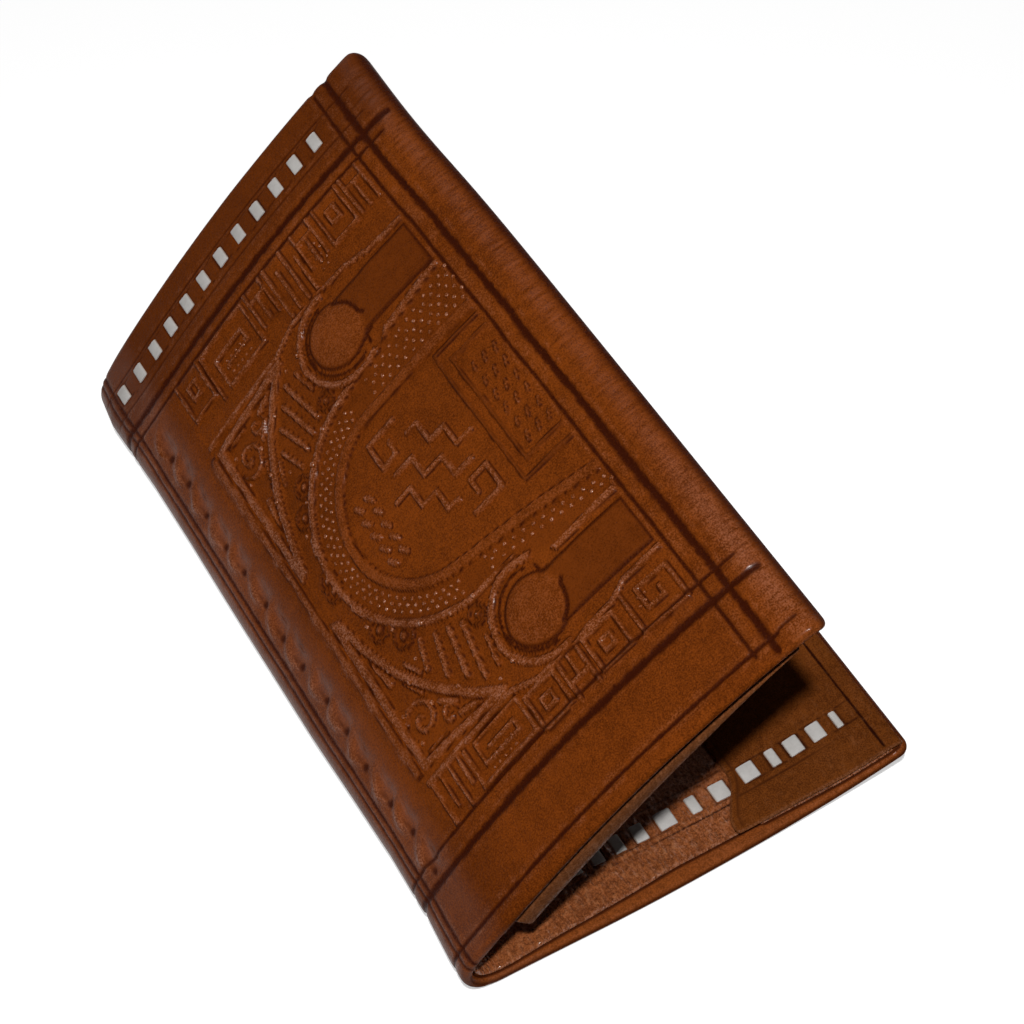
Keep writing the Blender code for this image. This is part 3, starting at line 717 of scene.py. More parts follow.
# Cells of the two key borders: (start, paths), y from the outer line inwards
comb = [[(0.4, 8.6), (0.4, -0.8)], [(3.0, 8.6), (3.0, 1.4)],
        [(5.6, 8.6), (5.6, -0.8)], [(8.0, 8.6), (8.0, 2.2)]]
longKey = [[(0.6, 7.8), (0.6, -0.2), (15.2, -0.2), (15.2, 7.4), (3.4, 7.4)],
           [(3.4, 7.4), (3.4, 2.6), (12.4, 2.6), (12.4, 4.8), (5.6, 4.8)]]
eye = [[(0.6, 6.0), (0.6, -1.4), (7.8, -1.4), (7.8, 6.0), (0.6, 6.0)],
       [(3.0, 3.4), (3.0, 1.2), (5.4, 1.2), (5.4, 3.4), (3.0, 3.4)]]
ladder = [[(0.4, 5.8), (0.4, -2.0)], [(5.2, 5.8), (5.2, -2.0)],
          [(0.4, 1.2), (5.2, 1.2)], [(2.8, 5.8), (2.8, 1.2)]]
squareCoil = [[(0.6, 8.4), (0.6, -1.6), (10.4, -1.6), (10.4, 6.0),
               (3.6, 6.0), (3.6, 1.6), (7.2, 1.6), (7.2, 3.6)]]
borders = [
    {"edge": 21.4, "sign": 1, "stretch": 1.0,
     "cells": [(13.2, comb), (22.2, longKey), (38.2, eye), (47.0, ladder), (53.2, eye), (63.2, squareCoil)],
     "inner": [(13, 30.6), (37.5, 30.4), (44, 28.0), (62, 28.6), (66, 30.4), (76, 30.8)]},
    {"edge": 136.4, "sign": -1, "stretch": 1.45,
     "cells": [(13.4, eye), (22.0, longKey), (38.4, ladder), (44.8, comb), (54.0, ladder), (60.6, eye),
               (69.4, ladder)],
     "inner": [(13, 120.4), (37.5, 120.6), (44, 122.8), (60, 122.4), (66, 120.6), (76, 120.2)]},
]


def spiralDistance(s, v, centre, pitch, size, sense):
    radius = np.hypot(s - centre[0], v - centre[1])
    angle = np.mod(sense * np.arctan2(v - centre[1], s - centre[0]), 2 * math.pi) / (2 * math.pi)
    turn = radius / pitch - angle
    return np.where(radius < size, np.abs(turn - np.round(turn)) * pitch, radius - size + pitch / 2)


# Places moved a little, as a stamp set by hand wanders
def byHand(s, v):
    moves = [0.16 * smoothNoise(s, v, 6, 6, seed) + 0.09 * smoothNoise(s, v, 1.9, 1.9, seed + 1)
             for seed in (21, 23)]
    return s + moves[0], v + moves[1]


# Highest of the raised lines along some paths
def raisedPaths(x, y, paths, half, flank):
    return np.maximum.reduce([soft(pathDistance(x, y, path), half, flank) for path in paths])


# One boss with its outline, dome and broad tongue, and the hook and notch cut in it
def bossParts(s, folded):
    flank = panel["flank"]
    reach, up = s - panel["bossReach"], folded - (panel["middle"] - panel["bossAway"])
    radius = np.hypot(reach, up)
    arc = pathDistance(reach, up, arcPoints((0, 0), panel["outlineRadius"], *panel["outlineArc"]))
    arc = np.minimum(arc, pathDistance(reach, up, panel["outlineTail"]))
    fineArc = arcPoints((0, 0), panel["outlineRadius"] - panel["fineInset"], *panel["fineArc"])
    fine = pathDistance(reach, up, fineArc)
    tongue = np.minimum(panel["tongueHalf"] - np.abs(up + 1.1), panel["tongueEnd"] - reach)
    tongue = np.where(reach > 0, np.minimum(tongue, reach + 7.0), -3)
    egg = panel["domeRadius"] - np.hypot(reach * 0.96, up + 0.4)
    body = np.maximum(egg, tongue)
    zone = soft(-np.maximum(body, 10.6 - radius), 0, 0.8)
    dome = np.sqrt(np.clip(1 - np.clip(1 - egg / panel["domeRadius"], 0, 1) ** 2, 0, 1))
    high = panel["bodyHeight"] * rise(body, 0, 1.1) + panel["domeHeight"] * dome * rise(egg, 0, 3)
    high = np.maximum(high, np.maximum(soft(arc, 0.72, flank), 0.5 * soft(fine, 0.2, 0.45)))
    hookArc = arcPoints((0.2, -0.6), panel["hookRadius"], *panel["hookArc"])
    hook = pathDistance(reach, up, hookArc + [panel["hookEnd"]])
    cut = np.maximum(soft(hook, 0.5, 0.7), soft(pathDistance(reach, up, panel["notch"]), 0.4, 0.6))
    low = 0.7 * soft(np.maximum(body, 8.4 - radius), -0.1, 0.5)
    return {"radius": radius, "zone": zone, "high": high, "low": low, "cut": cut, "arc": arc}


def flatRing(inner):
    return soft(np.abs(inner - panel["ringWidth"] / 2 - 0.15), panel["ringWidth"] / 2, panel["flank"])


# Beaded band with a flat ring inside it and a rounded ridge outside. This and the next
# three give how high the leather stands, how low its ground lies, and what is cut in.
def bandParts(inner, outer, bossZone):
    rim = soft(np.abs(outer + panel["rimInset"]), 0.75, panel["flank"]) * (1 - bossZone)
    groove = 0.8 * soft(np.abs(inner - panel["ringWidth"] - 0.55), 0.12, 0.5)
    return np.maximum(flatRing(inner), rim), soft(-np.minimum(outer, -inner), 0, 0.55), groove


# Medallion figures and the nested frames beside them
def medallionParts(s, v, inner):
    flank = panel["flank"]
    high = np.maximum(raisedPaths(s, v, frets, 0.55, flank), 0.9 * raisedPaths(s, v, boxTicks, 0.34, 0.45))
    for first, last in boxFrames:
        fromS = np.abs(s - (first[0] + last[0]) / 2) - (last[0] - first[0]) / 2
        fromV = np.abs(v - (first[1] + last[1]) / 2) - (last[1] - first[1]) / 2
        high = np.maximum(high, 0.8 * soft(np.abs(np.maximum(fromS, fromV)), 0.42, flank))
    return high * rise(inner, 2.6, 3.2), s * 0, s * 0


# Corner fields: a flat frame round a sunk ground, and a crescent outside it
def cornerParts(s, folded, outer, bossRadius):
    flank = panel["flank"]
    field = insetFrom(s, folded, cornerFrame)
    ground = soft(-field, -2.4, 0.6)
    crescent = np.minimum.reduce([-field, -outer - 1.9, s - 15.0, bossRadius - 11.0])
    crescent = np.where((s < 44) & (folded > 31.5), crescent, -1.0)
    inField = [soft(segmentDistance(s, folded, start, end), half, flank) for start, end, half in leaves]
    inField += [0.95 * soft(spiralDistance(s, folded, centre, pitch, size, sense), 0.5, flank)
                for centre, size, pitch, sense in coils]
    high = [soft(np.abs(field - 1.1), 0.85, flank), ground * np.maximum.reduce(inField)]
    high += [soft(segmentDistance(s, folded, start, end), half, flank) for start, end, half in drops]
    for centre, disc, ring in loops:
        away = np.hypot(s - centre[0], folded - centre[1])
        high += [1.1 * soft(away, disc * 0.6, disc * 0.9), 0.8 * soft(np.abs(away - ring), 0.3, 0.45)]
    low = np.maximum(0.9 * ground, 0.8 * rise(crescent, 0, 0.6))
    return np.maximum.reduce(high), low, 0.6 * soft(np.abs(field - 2.35), 0.12, 0.5)


def borderParts(s, v):
    flank = panel["flank"]
    high, low = s * 0, s * 0
    for border in borders:
        away = border["sign"] * (v - border["edge"])
        innerEdge = border["sign"] * (np.interp(s, *zip(*border["inner"])) - border["edge"])
        inBorder = soft(np.maximum(away - innerEdge, panel["left"] + 1.6 - s), 0, 0.5)
        low = np.maximum(low, 0.55 * inBorder * rise(away, 0.2, 0.8))
        paths = [[(start + x, y * border["stretch"]) for x, y in path]
                 for start, cell in border["cells"] for path in cell]
        line = soft(np.abs(away - innerEdge), 0.6, flank) * soft(-s, -panel["rail"] - 0.5, 0.6)
        raised = inBorder * raisedPaths(s, away, paths, panel["lineHalf"], flank)
        high = np.maximum.reduce([high, raised, line])
    return high, low, s * 0


# Relief, darkness and painted light of the pressed panel: painted shade at the feet of the raised lines,
# painted glints on their crests
def ornament(s, v):
    s, v = byHand(s, v)
    folded = panel["middle"] - np.abs(v - panel["middle"])
    inner, outer = insetFrom(s, v, bandInside), insetFrom(s, v, bandOutside)
    boss = bossParts(s, folded)
    parts = [bandParts(inner, outer, boss["zone"]), medallionParts(s, v, inner),
             cornerParts(s, folded, outer, boss["radius"]), borderParts(s, v)]
    high, low, cut = [np.maximum.reduce(fields) for fields in zip(*parts)]

    # Bosses lie over the rest, and a wandering rail runs beside the spine
    high = high * (1 - boss["zone"]) + boss["high"] * boss["zone"]
    low = low * (1 - boss["zone"]) + boss["low"] * boss["zone"]
    cut = np.maximum(cut * (1 - boss["zone"]), boss["cut"])
    railHalf = panel["railHalf"] + 0.35 * smoothNoise(s, v, 4, 3.2, 31)
    railMiddle, railSpan = (panel["railFrom"] + panel["railTo"]) / 2, panel["railTo"] - panel["railFrom"]
    inRail = soft(np.abs(v - railMiddle), railSpan / 2, 1.5)
    high = np.maximum(high, 0.9 * soft(np.abs(s - panel["rail"]), railHalf, 0.7) * inRail)

    outOf = np.maximum.reduce([panel["left"] - s, s - panel["right"], panel["low"] - v, v - panel["high"]])
    inPanel = soft(outOf, -0.2, 0.8)
    raised = np.clip(high, 0, 1)
    ground = low * (1 - raised)
    relief = panel["ridge"] * high - panel["floor"] * ground - panel["cutDepth"] * cut
    # Painted shade along the foot of each raised line
    foot = 4 * np.sqrt(raised) * (1 - np.sqrt(raised))
    dark = np.maximum.reduce([0.75 * cut, 0.72 * foot, 0.24 * ground])
    # Crests are marked for painted glints, fewer on broad flat parts and none in cuts
    broad = np.maximum(boss["zone"] * (1 - soft(boss["arc"], 0.9, 0.6)), flatRing(inner))
    crest = rise(raised, 0.72, 1.0) * (1 - 0.75 * broad) * (1 - cut)
    return relief * inPanel, dark * inPanel, crest * inPanel


# Drop stamps beside the spine: a raised lobe curls round a wide glossy scoop with a nick.
# The lobe is painted lighter as painted light, the scoop and its side darker as painted shade.
stamps = {"reach": 3.0, "first": 20.9, "pitch": 8.45, "count": 14, "swayAlong": 0.5, "swayAcross": 0.4,
          "scoop": 0.6, "lobe": 0.5, "nick": 0.38}


def spineStamps(s, v):
    relief, dark, worn, sheen = s * 0, s * 0, s * 0, s * 0
    wander = 0.35 * smoothNoise(s, v, 2.4, 2.4, 27)
    for index in range(stamps["count"]):
        middle = stamps["first"] + index * stamps["pitch"] + stamps["swayAlong"] * math.sin(index * 2.3)
        up = v - middle
        reach = s - stamps["reach"] - stamps["swayAcross"] * math.sin(index * 1.7) + wander
        curled = reach - 0.08 * up * up
        scoop = hump(curled, 1.7, 1.25 - 0.12 * np.clip(up, -2, 4)) * hump(up, 0.6, 3.1)
        lobe = hump(reach - 0.10 * (up - 0.5) ** 2, -0.55, 0.95) * hump(up, 0.9, 3.4)
        nick = hump(reach, 0.55, 0.8) * hump(up, -2.5, 0.95)
        relief = relief - stamps["scoop"] * scoop + stamps["lobe"] * lobe - stamps["nick"] * nick
        side = hump(curled, 0.45, 0.42) * hump(up, -0.6, 2.2)
        dark = np.maximum.reduce([dark, 0.26 * scoop, 0.95 * nick, 0.5 * side])
        worn = np.maximum(worn, 0.9 * lobe)
        sheen = np.maximum(sheen, scoop) - 0.8 * lobe
    return relief, dark, worn, sheen


# Rolled edges of the cover: width and half thickness of the roll along the thin side
# hems, and what the thick free edge adds, less on the back half
hemRoll = {"width": 1.5, "half": 1.1, "freeWidth": 4.3, "freeHalf": 1.7, "backShare": 0.35, "corner": 3,
           "shade": 0.85, "shadeWidth": 1.5, "slip": 0.1}

# Wear, age, sheen and painted highlights of the cover: levels, and (from, to) or (middle, width) along the
# reach or the rows
wearAndHighlights = {
    "agedFar": 0.75, "agedRows": (134, 146), "agedSpine": 0.35, "agedReach": (-22, -4),
    "ribReach": (80.5, 83.5), "crimpRows": (-2.2, -0.6), "spineSheen": (8.0, 6.0),
    "edgeSheen": 0.42, "edgeSheenAt": (85.4, 1.7), "edgeSheenRows": (2, 12),
    "edgeRub": 0.7, "edgeRubReach": (80.8, 84.5), "edgeRubRows": (-62, -15), "lipRub": 0.6,
}


# Share of the thick rolled free edge at a place, against the thin side hems
def freeShare(girth, along):
    toFree = halfWidth - (np.abs(girth) - spineHalf)
    toRow = np.minimum(along - near, far - along)
    return rise(toRow - toFree, -hemRoll["corner"], hemRoll["corner"])


# Fall of a quarter round, 1 at the edge and 0 from its width inwards
def quarterRound(edge, width):
    t = np.clip(1 - edge / width, 0, 1)
    return 1 - np.sqrt(np.clip(1 - t * t, 0, 1))


# Depth of the cover's grain side: rolls over to half the hem's thickness at its edge
def rolled(girth, along, edge):
    free = freeShare(girth, along) * np.where(girth > 0, 1.0, hemRoll["backShare"])
    width, half = hemRoll["width"] + hemRoll["freeWidth"] * free, hemRoll["half"] + hemRoll["freeHalf"] * free
    return half * quarterRound(edge, width)


def coverInside(girth, along):
    toFree = halfWidth - (np.abs(girth) - spineHalf)
    hem = (along < near + wallet["plainHem"]) | (along > far - wallet["lacedHem"])
    depth = np.where(hem, hemDepth, wallet["coverThickness"])
    under = np.where(girth > 0, lipUnder, pocketTop - hemRoll["slip"])
    lip = hemDepth + (under - hemDepth) * freeShare(girth, along)
    return np.where(toFree < wallet["lipWidth"] + hemRoll["slip"], lip, depth)


# Slight unevenness of leather worked by hand
def handSoft(girth, along):
    return 0.05 * smoothNoise(girth, along, 14, 17, 41) + 0.02 * smoothNoise(girth, along, 4, 5, 42)


# The rolled free edge darkens towards its turn
def edgeShade(girth, along, edge):
    turned = np.exp(-(np.clip(edge, 0, None) / hemRoll["shadeWidth"]) ** 1.6)
    return hemRoll["shade"] * freeShare(girth, along) * turned


# Marks that both halves of the cover share
def coverWear(s, v, free):
    aged = wearAndHighlights["agedFar"] * rise(v, *wearAndHighlights["agedRows"]) + wearAndHighlights["agedSpine"] * rise(-s, *wearAndHighlights["agedReach"])
    aged = aged + 0.2 * smoothNoise(s, v, 12, 15, 46)
    return {"aged": np.clip(aged, 0, 1), "ribbed": free * rise(s, *wearAndHighlights["ribReach"]),
            "crimp": rise(-v, *wearAndHighlights["crimpRows"])}


def frontFace(girth, along, edge):
    s, v = girth - spineHalf, along - near
    wave = 0.16 * smoothNoise(s, v, 60, 9, 51)
    relief, dark, worn = ornament(s, v)
    stampRelief, stampDark, stampLight, stampSheen = spineStamps(s, v)
    dark, worn = np.maximum(dark, stampDark), np.maximum(worn, stampLight)
    relief, dark = pressLines(s + wave, v + wave, frontLines, relief + stampRelief, dark)
    bed, bedDark = laceBed(s, along, lacing["coverRow"], coverStitches)
    dark = np.maximum.reduce([dark, bedDark, edgeShade(girth, along, edge)])
    # A painted highlight on the free edge's roll towards the plain end, and painted highlights beside the
    # pressed lines
    rub = wearAndHighlights["edgeRub"] * rise(s, *wearAndHighlights["edgeRubReach"]) * rise(-v, *wearAndHighlights["edgeRubRows"])
    worn = np.maximum.reduce([worn, wearAndHighlights["lipRub"] * lineEdgeHighlights(s + wave, v + wave, frontLines), rub])
    quiet = soft(-edge, -0.1, 0.8)
    relief = (relief - bed + handSoft(girth, along)) * quiet
    gloss = 0.4 + 0.12 * smoothNoise(s, v, 3.2, 4.0, 44) + 0.6 * stampSheen
    edgeGloss = wearAndHighlights["edgeSheen"] * hump(s, *wearAndHighlights["edgeSheenAt"]) * rise(v, *wearAndHighlights["edgeSheenRows"])
    sheen = np.maximum(soft(np.abs(s - 0.5), *wearAndHighlights["spineSheen"]) * gloss, edgeGloss)
    return rolled(girth, along, edge) - relief, {
        "dark": dark, "worn": worn * (1 - dark), "sheen": np.clip(sheen, 0, 1),
        **coverWear(s, v, freeShare(girth, along))}


def backFace(girth, along, edge):
    s, v = -girth - spineHalf, along - near
    relief, dark = pressLines(s, v, backLines, s * 0, s * 0)
    bed, bedDark = laceBed(s, along, lacing["coverRow"], coverStitches)
    dark = np.maximum.reduce([dark, bedDark, edgeShade(girth, along, edge)])
    relief = (np.minimum(relief + handSoft(girth, along) - 0.05, 0) - bed) * soft(-edge, -0.1, 0.8)
    worn = 0.5 * soft(edge, 0.9, 1.2)
    sheen = soft(np.abs(s - 0.5), *wearAndHighlights["spineSheen"]) * 0.5
    return rolled(girth, along, edge) - relief, {
        "dark": dark, "worn": worn * (1 - dark), "sheen": sheen, **coverWear(s, v, freeShare(girth, along))}


# How far the near edge of each half's inner layers stands in from or out to its usual
# place, at some reaches
nearShift = {-1: ([-8.1, 2, 10, 38, 56.2, 56.6, 75, 90], [-1.0, -1.1, -0.5, 1.0, 0.7, 0.2, -0.8, -1.1]),
             1: ([-8.1, -4.1, 4, 20, 60, 82, 90], [-1.0, -1.0, -0.8, -0.9, -0.9, -0.2, 0.0])}


# Moves the near edge of an inner layer, and the near corner of a mouth that flares by so much
def nearMover(side, start, mouth=0.0, flare=0.0):
    def move(girth, along):
        reach = np.abs(girth) - spineHalf
        out = np.interp(reach, *nearShift[side])
        spread = flare * rise(-along, -start - 12, -start - 1) * rise(-reach, -mouth - 10, -mouth)
        return girth - side * spread, along + out * rise(-along, -start - 9, -start - 1)
    return move


# Level of one of a rim's rings, counted from the edge. The last level holds further in.
def ringLevel(levels, index):
    return levels[min(index, len(levels) - 1)]


# Marks of a cover's rim: painted paler at the turn, partly rub and partly highlight, a painted
# shadow line where the liner's edge lies, and painted shade on the first rings of the back
# half's near edge and of every edge but the near one
def coverMarks(index, inset, girth, nearSide):
    side = -1 if girth.mean() < spineHalf else 1
    linerEdge = wallet["innerInset"] + np.interp(np.abs(girth) - spineHalf, *nearShift[side])
    under = ringLevel(coverRim["under"], index) * (side < 0)
    dark = nearSide * np.maximum(hump(inset, linerEdge + 0.05, 0.36), under)
    return {"dark": np.maximum(dark, (1 - nearSide) * ringLevel(coverRim["shades"], index)),
            "worn": (nearSide - dark) * ringLevel(coverRim["rubs"], index), "crimp": nearSide}


# Rim of a cover piece: rounding of its corners, reach and angles of its turn, then rings
# on the flat, and where the coarse hidden grid starts
coverRim = {"corner": 2.2, "in": 1.05, "turns": [14, 28, 44, 60, 76, 90],
            "flats": [1.3, 1.6, 1.9, 2.2, 2.5, 2.8, 3.1, 3.4], "inner": 3.9, "cutIn": 0.8,
            # under and shades: painted shade on the first rings of the rim
            "innerSteps": [8.0, 12.0], "fade": 0.5, "marks": coverMarks, "under": (0.6, 0.6, 0.35, 0.1, 0),
            "shades": (0.5, 0.55, 0.6, 0.6, 0.6, 0.6, 0.6, 0), "rubs": (0.4, 0.8, 1.1)}

# Finer stretches of the covers' grids, as (from, to, step) along the rows and the reach
alongWindows = [(0, 1.8, 0.22), (3.0, 4.8, 0.26), (14.8, 17.2, 0.28), (19.6, 21.0, 0.28), (21.0, 137.2, 0.43),
                (137.2, 138.7, 0.28), (139.8, 142.2, 0.28), (144.4, 145.7, 0.28), (146.4, 151.0, 0.40),
                (151.0, 152.4, 0.28), (156.2, 158.0, 0.22)]
frontWindows = [(-2.8, 0.8, 0.28), (0.8, 5.6, 0.42), (11.8, 75.2, 0.43), (75.2, 76.8, 0.28),
                (78.5, 80.9, 0.28), (80.9, 86.8, 0.6), (86.8, 88.8, 0.2)]
backWindows = [(75.2, 76.8, 0.28), (78.5, 80.9, 0.28), (82.8, 86.8, 0.6), (86.8, 88.8, 0.22)]
spineEnd = spineHalf + halfWidth
cutAt = [-jointPitch, 0.0, jointPitch]
cutWindow = (jointPitch, jointPitch + 0.3, 0.1)


def movedWindows(windows, start):
    return [(start + low, start + high, step) for low, high, step in windows]


coverAlongs = gridLines(near, far, 1.0, movedWindows(alongWindows, near))
frontGirths = gridLines(jointPitch, spineEnd, 0.9, [cutWindow] + movedWindows(frontWindows, spineHalf))
backGirths = -gridLines(jointPitch, spineEnd, 1.2, [cutWindow] + movedWindows(backWindows, spineHalf))[::-1]
spineGirths = gridLines(0.0, jointPitch, 0.4, [(0.0, 0.2, 0.1), (jointPitch - 0.3, jointPitch, 0.1)])
hemLines = [place + side * hemRoll["slip"] for place in (near + wallet["plainHem"], far - wallet["lacedHem"])
            for side in (-1, 1)]
lipLine = spineEnd - wallet["lipWidth"] - hemRoll["slip"]

coverFront = makeSheet("front_cover_skin", frontGirths, coverAlongs, (True, False), frontFace, coverInside,
                       coverRim, ([lipLine - 0.15, lipLine + 0.02], hemLines), coverLook)
print("front cover made", len(coverFront.data.polygons), "faces")
coverBack = makeSheet("back_cover_skin", backGirths, coverAlongs, (False, True), backFace, coverInside,
                      coverRim, ([-lipLine - 0.02, -lipLine + 0.15], hemLines), coverLook)
coverSpine = [makeSheet("spine_cover_skin_%d" % (index + 1), spineGirths + start, coverAlongs, (True, True),
                        frontFace, coverInside, coverRim, ([], hemLines), coverLook)
              for index, start in enumerate(cutAt[:2])]
print("covers made")


# Ridged creases, mostly across the near edge, stronger towards it
def creases(s, along, seed):
    fine = 1 - np.abs(smoothNoise(s, along, 0.85, 2.6, seed))
    broad = 1 - np.abs(smoothNoise(s + 0.4 * along, along, 1.9, 2.2, seed + 1))
    cross = 1 - np.abs(smoothNoise(s, along, 2.0, 0.8, seed + 2))
    return 0.55 * fine ** 4 + 0.3 * broad ** 3 + 0.25 * cross ** 5


# The back pocket runs out over the cover's free edge and drops there, and its mouth flares
overhang = {"inset": 0.55, "width": 3.0, "drop": 1.5, "flare": 5.2}


def freeDrop(girth):
    return overhang["drop"] * quarterRound(spineEnd - overhang["inset"] - np.abs(girth), overhang["width"])


# Crinkles of the thin liner, strongest near its plain edge: relief, painted shade in their
# hollows, painted highlights and glints on their crests, and crimp
def linerCrinkles(girth, along):
    strong = 0.25 + 0.75 * soft(np.abs(along - near - 5), 10, 10)
    crease = creases(girth, along, 61)
    worn = 0.35 * strong + np.clip(strong * (crease - 0.42) * 1.6, 0, 1)
    dark = 0.22 * strong * rise(0.26 - crease, 0, 0.22)
    return 0.42 * strong * (crease - 0.4), dark, worn, 0.2 + 0.8 * strong


# Slight wrinkles of a pocket towards the free edge, given in the same way, with painted glints on their
# crests
def pocketWrinkles(girth, along):
    s = np.abs(girth) - spineHalf
    wrinkle, outer = smoothNoise(s, along, 1.6, 6.0, 63), rise(s, 60, 80)
    crimp = 0.35 + 0.3 * smoothNoise(s, along, 5, 7, 64)
    return 0.05 * wrinkle * outer, s * 0, 0.10 * rise(wrinkle, 0.2, 0.8) * outer, crimp


# Extra hang of an inner layer at its near edge, less towards the free edge
def hangAt(hang, girth, along, span=9):
    return hang * rise(near - along, -span, -1) * rise(spineHalf - np.abs(girth), -86, -24)


def layerFace(wrinkles, under, rows, lines, hang, drops):
    def shown(girth, along, edge):
        s, v = np.abs(girth) - spineHalf, along - near
        relief, dark = s * 0, s * 0
        for row, stitches in rows:
            bed, bedDark = laceBed(s, along, row, stitches)
            relief, dark = relief - bed, np.maximum(dark, bedDark)
        relief, dark = pressLines(s, v, lines, relief, dark)
        wrinkled, wrinkleDark, worn, crimp = wrinkles(girth, along)
        relief, dark = relief + wrinkled + handSoft(girth + 200, along), np.maximum(dark, wrinkleDark)
        # A painted highlight along the layer's edge
        worn = np.maximum(worn, 0.8 * soft(edge, 0.35, 0.4))
        quiet = soft(-edge, -0.1, 0.6)
        depth = under + relief * quiet - 0.4 * quarterRound(edge, 0.7) + hangAt(hang, girth, along)
        depth = depth - (freeDrop(girth) if drops else 0)
        aged = np.clip(0.3 * smoothNoise(s, v, 9, 11, 47), 0, 1)
        return depth, {"dark": dark * (0.4 + 0.6 * quiet), "worn": worn * (1 - dark), "sheen": s * 0,
                       "aged": aged, "ribbed": s * 0, "crimp": crimp}
    return shown


# Painted highlights on the first rings of a layer's near rim
def layerMarks(index, inset, girth, nearSide):
    return {"worn": nearSide * ringLevel((0.9, 0.7, 0.0), index)}


layerRim = {"corner": 0.8, "in": 0.3, "turns": [30, 60, 90], "flats": [0.6], "inner": 1.4, "cutIn": 0.5,
            "innerSteps": [8.0, 14.0], "fade": 1.0, "marks": layerMarks}


# The outer card sleeve's turned hem leans out, with a pressed line along it and painted highlights on its
# rings
def hemMarks(index, inset, girth, nearSide):
    return {"worn": nearSide * ringLevel(hemRim["rubs"], index), "crimp": nearSide,
            "dark": nearSide * ringLevel(hemRim["line"], index)}


hemRim = {**layerRim, "in": 0.42, "turns": [12, 24, 34, 42, 50, 58, 66, 78, 90], "flats": [0.75],
          "inner": 3.4, "lean": 3.0, "marks": hemMarks, "rubs": [0.7] + [0.25] * 7 + [0.5, 0.25],
          "line": [0.0] * 5 + [0.45, 0.95, 0.55, 0.0]}

# Inner layers: where they lie, and the lace rows and lines pressed into them
inner = (near + wallet["innerInset"], far - wallet["innerInset"])
layerEnd = spineEnd - wallet["lipWidth"] + 0.25
cutStart = jointPitch - spineHalf
coverRow = (lacing["coverRow"], coverStitches)
linerRow = (lacing["linerRow"], linerStitches)
rowWindows = [(row - 2.7, row + 2.7, 0.42) for row, stitches in (coverRow, linerRow)]
pocketLines = [
    ((57.4, 8.9), (82.0, 8.6), 0.20, 0.12, 0.55),
    ((58.0, 3.0), (58.0, 154.4), 0.34, 0.14, 0.6),
    ((84.5, 3.4), (84.5, 154.6), 0.24, 0.22, 1.0),
    ((57.6, 15.4), (84.0, 15.6), 0.18, 0.10, 0.45),
]
linerLines = [((14.0, 9.0), (56.0, 8.6), 0.24, 0.14, 0.8), ((19.0, 15.8), (56.0, 15.8), 0.2, 0.12, 0.6)]
# What a layer has unless it says otherwise. Faces are (towards the cover, shown), hangs
# the same, and steps the grid's along the reach, near the plain edge and beyond it.
plainLayer = {"wrinkles": pocketWrinkles, "hangs": (0, 0), "alongs": inner, "rows": [coverRow], "lines": [],
              "look": pocketLook, "steps": (0.9, 0.9, 1.6), "rim": layerRim, "over": None}


# One inner layer of a half, side -1 is the back half
def makeLayer(name, side, **facts):
    layer = {**plainLayer, **facts}
    (top, under), (topHang, underHang), over = layer["faces"], layer["hangs"], layer["over"]
    (start, end), (first, last), (step, nearStep, farStep) = layer["reaches"], layer["alongs"], layer["steps"]
    cut = start < 0
    startWindow = (spineHalf + start, spineHalf + start + (0.2 if cut else 0.8), 0.1 if cut else 0.2)
    endWindow = (end - (4.6 if over else 0.8), end, 0.22)
    girths, cuts = gridLines(spineHalf + start, end, step, [startWindow, endWindow]), (cut, False)
    if side < 0:
        girths, cuts = -girths[::-1], (False, cut)
    alongs = gridLines(first, last, farStep, rowWindows + [
        (first, first + 0.8, 0.2), (first + 0.8, near + 20, nearStep), (last - 0.8, last, 0.2)])

    def hiddenFace(girth, along):
        hang = hangAt(topHang, girth, along, 4 if topHang < 0 else 9)
        return top + hang - (freeDrop(girth) if over else 0)

    face = layerFace(layer["wrinkles"], under, layer["rows"], layer["lines"], underHang, bool(over))
    mover = nearMover(side, first, start, over["flare"] if over else 0.0)
    return makeSheet(name, girths, alongs, cuts, face, hiddenFace, layer["rim"], ([], []), layer["look"],
                     mover)


liner = {"wrinkles": linerCrinkles, "faces": (linerTop, linerUnder), "look": linerLook}
backLiner = makeLayer("back_liner_skin", -1, **liner, reaches=(cutStart, layerEnd), rows=[coverRow, linerRow],
                      lines=linerLines, steps=(0.36, 0.45, 1.2))
frontLiner = makeLayer("front_liner_skin", 1, **liner, reaches=(cutStart, layerEnd), hangs=(0.1, 0.1))


def spineLinerHidden(girth, along):
    return girth * 0 + linerTop


spineLiners = []
spineLinerAlongs = gridLines(*inner, 0.8, [(inner[0], inner[0] + 0.8, 0.2), (inner[1] - 0.8, inner[1], 0.2)])
for index, (start, end) in enumerate(zip(cutAt, cutAt[1:])):
    girths = gridLines(start, end, 0.4, [(start, start + 0.2, 0.1), (end - 0.2, end, 0.1)])
    face = layerFace(linerCrinkles, linerUnder, [], [], 0.0, False)
    spineLiners.append(makeSheet(
        "spine_liner_skin_%d" % (index + 1), girths, spineLinerAlongs, (True, True), face, spineLinerHidden,
        layerRim, ([], []), linerLook, nearMover(-1, inner[0])))

backPocket = makeLayer("back_pocket_skin", -1, faces=(pocketTop, pocketUnder), rows=[coverRow, linerRow],
                       reaches=(wallet["backPocketMouth"], spineEnd - overhang["inset"]), lines=pocketLines,
                       steps=(0.6, 0.5, 1.2), over=overhang)
frontPocket = makeLayer("front_pocket_skin", 1, faces=(pocketTop, pocketUnder), hangs=(0.2, 0.3),
                        reaches=(wallet["frontPocketMouth"], layerEnd),
                        lines=[((8.0, 3.6), (8.0, 154.4), 0.26, 0.14, 0.6)])
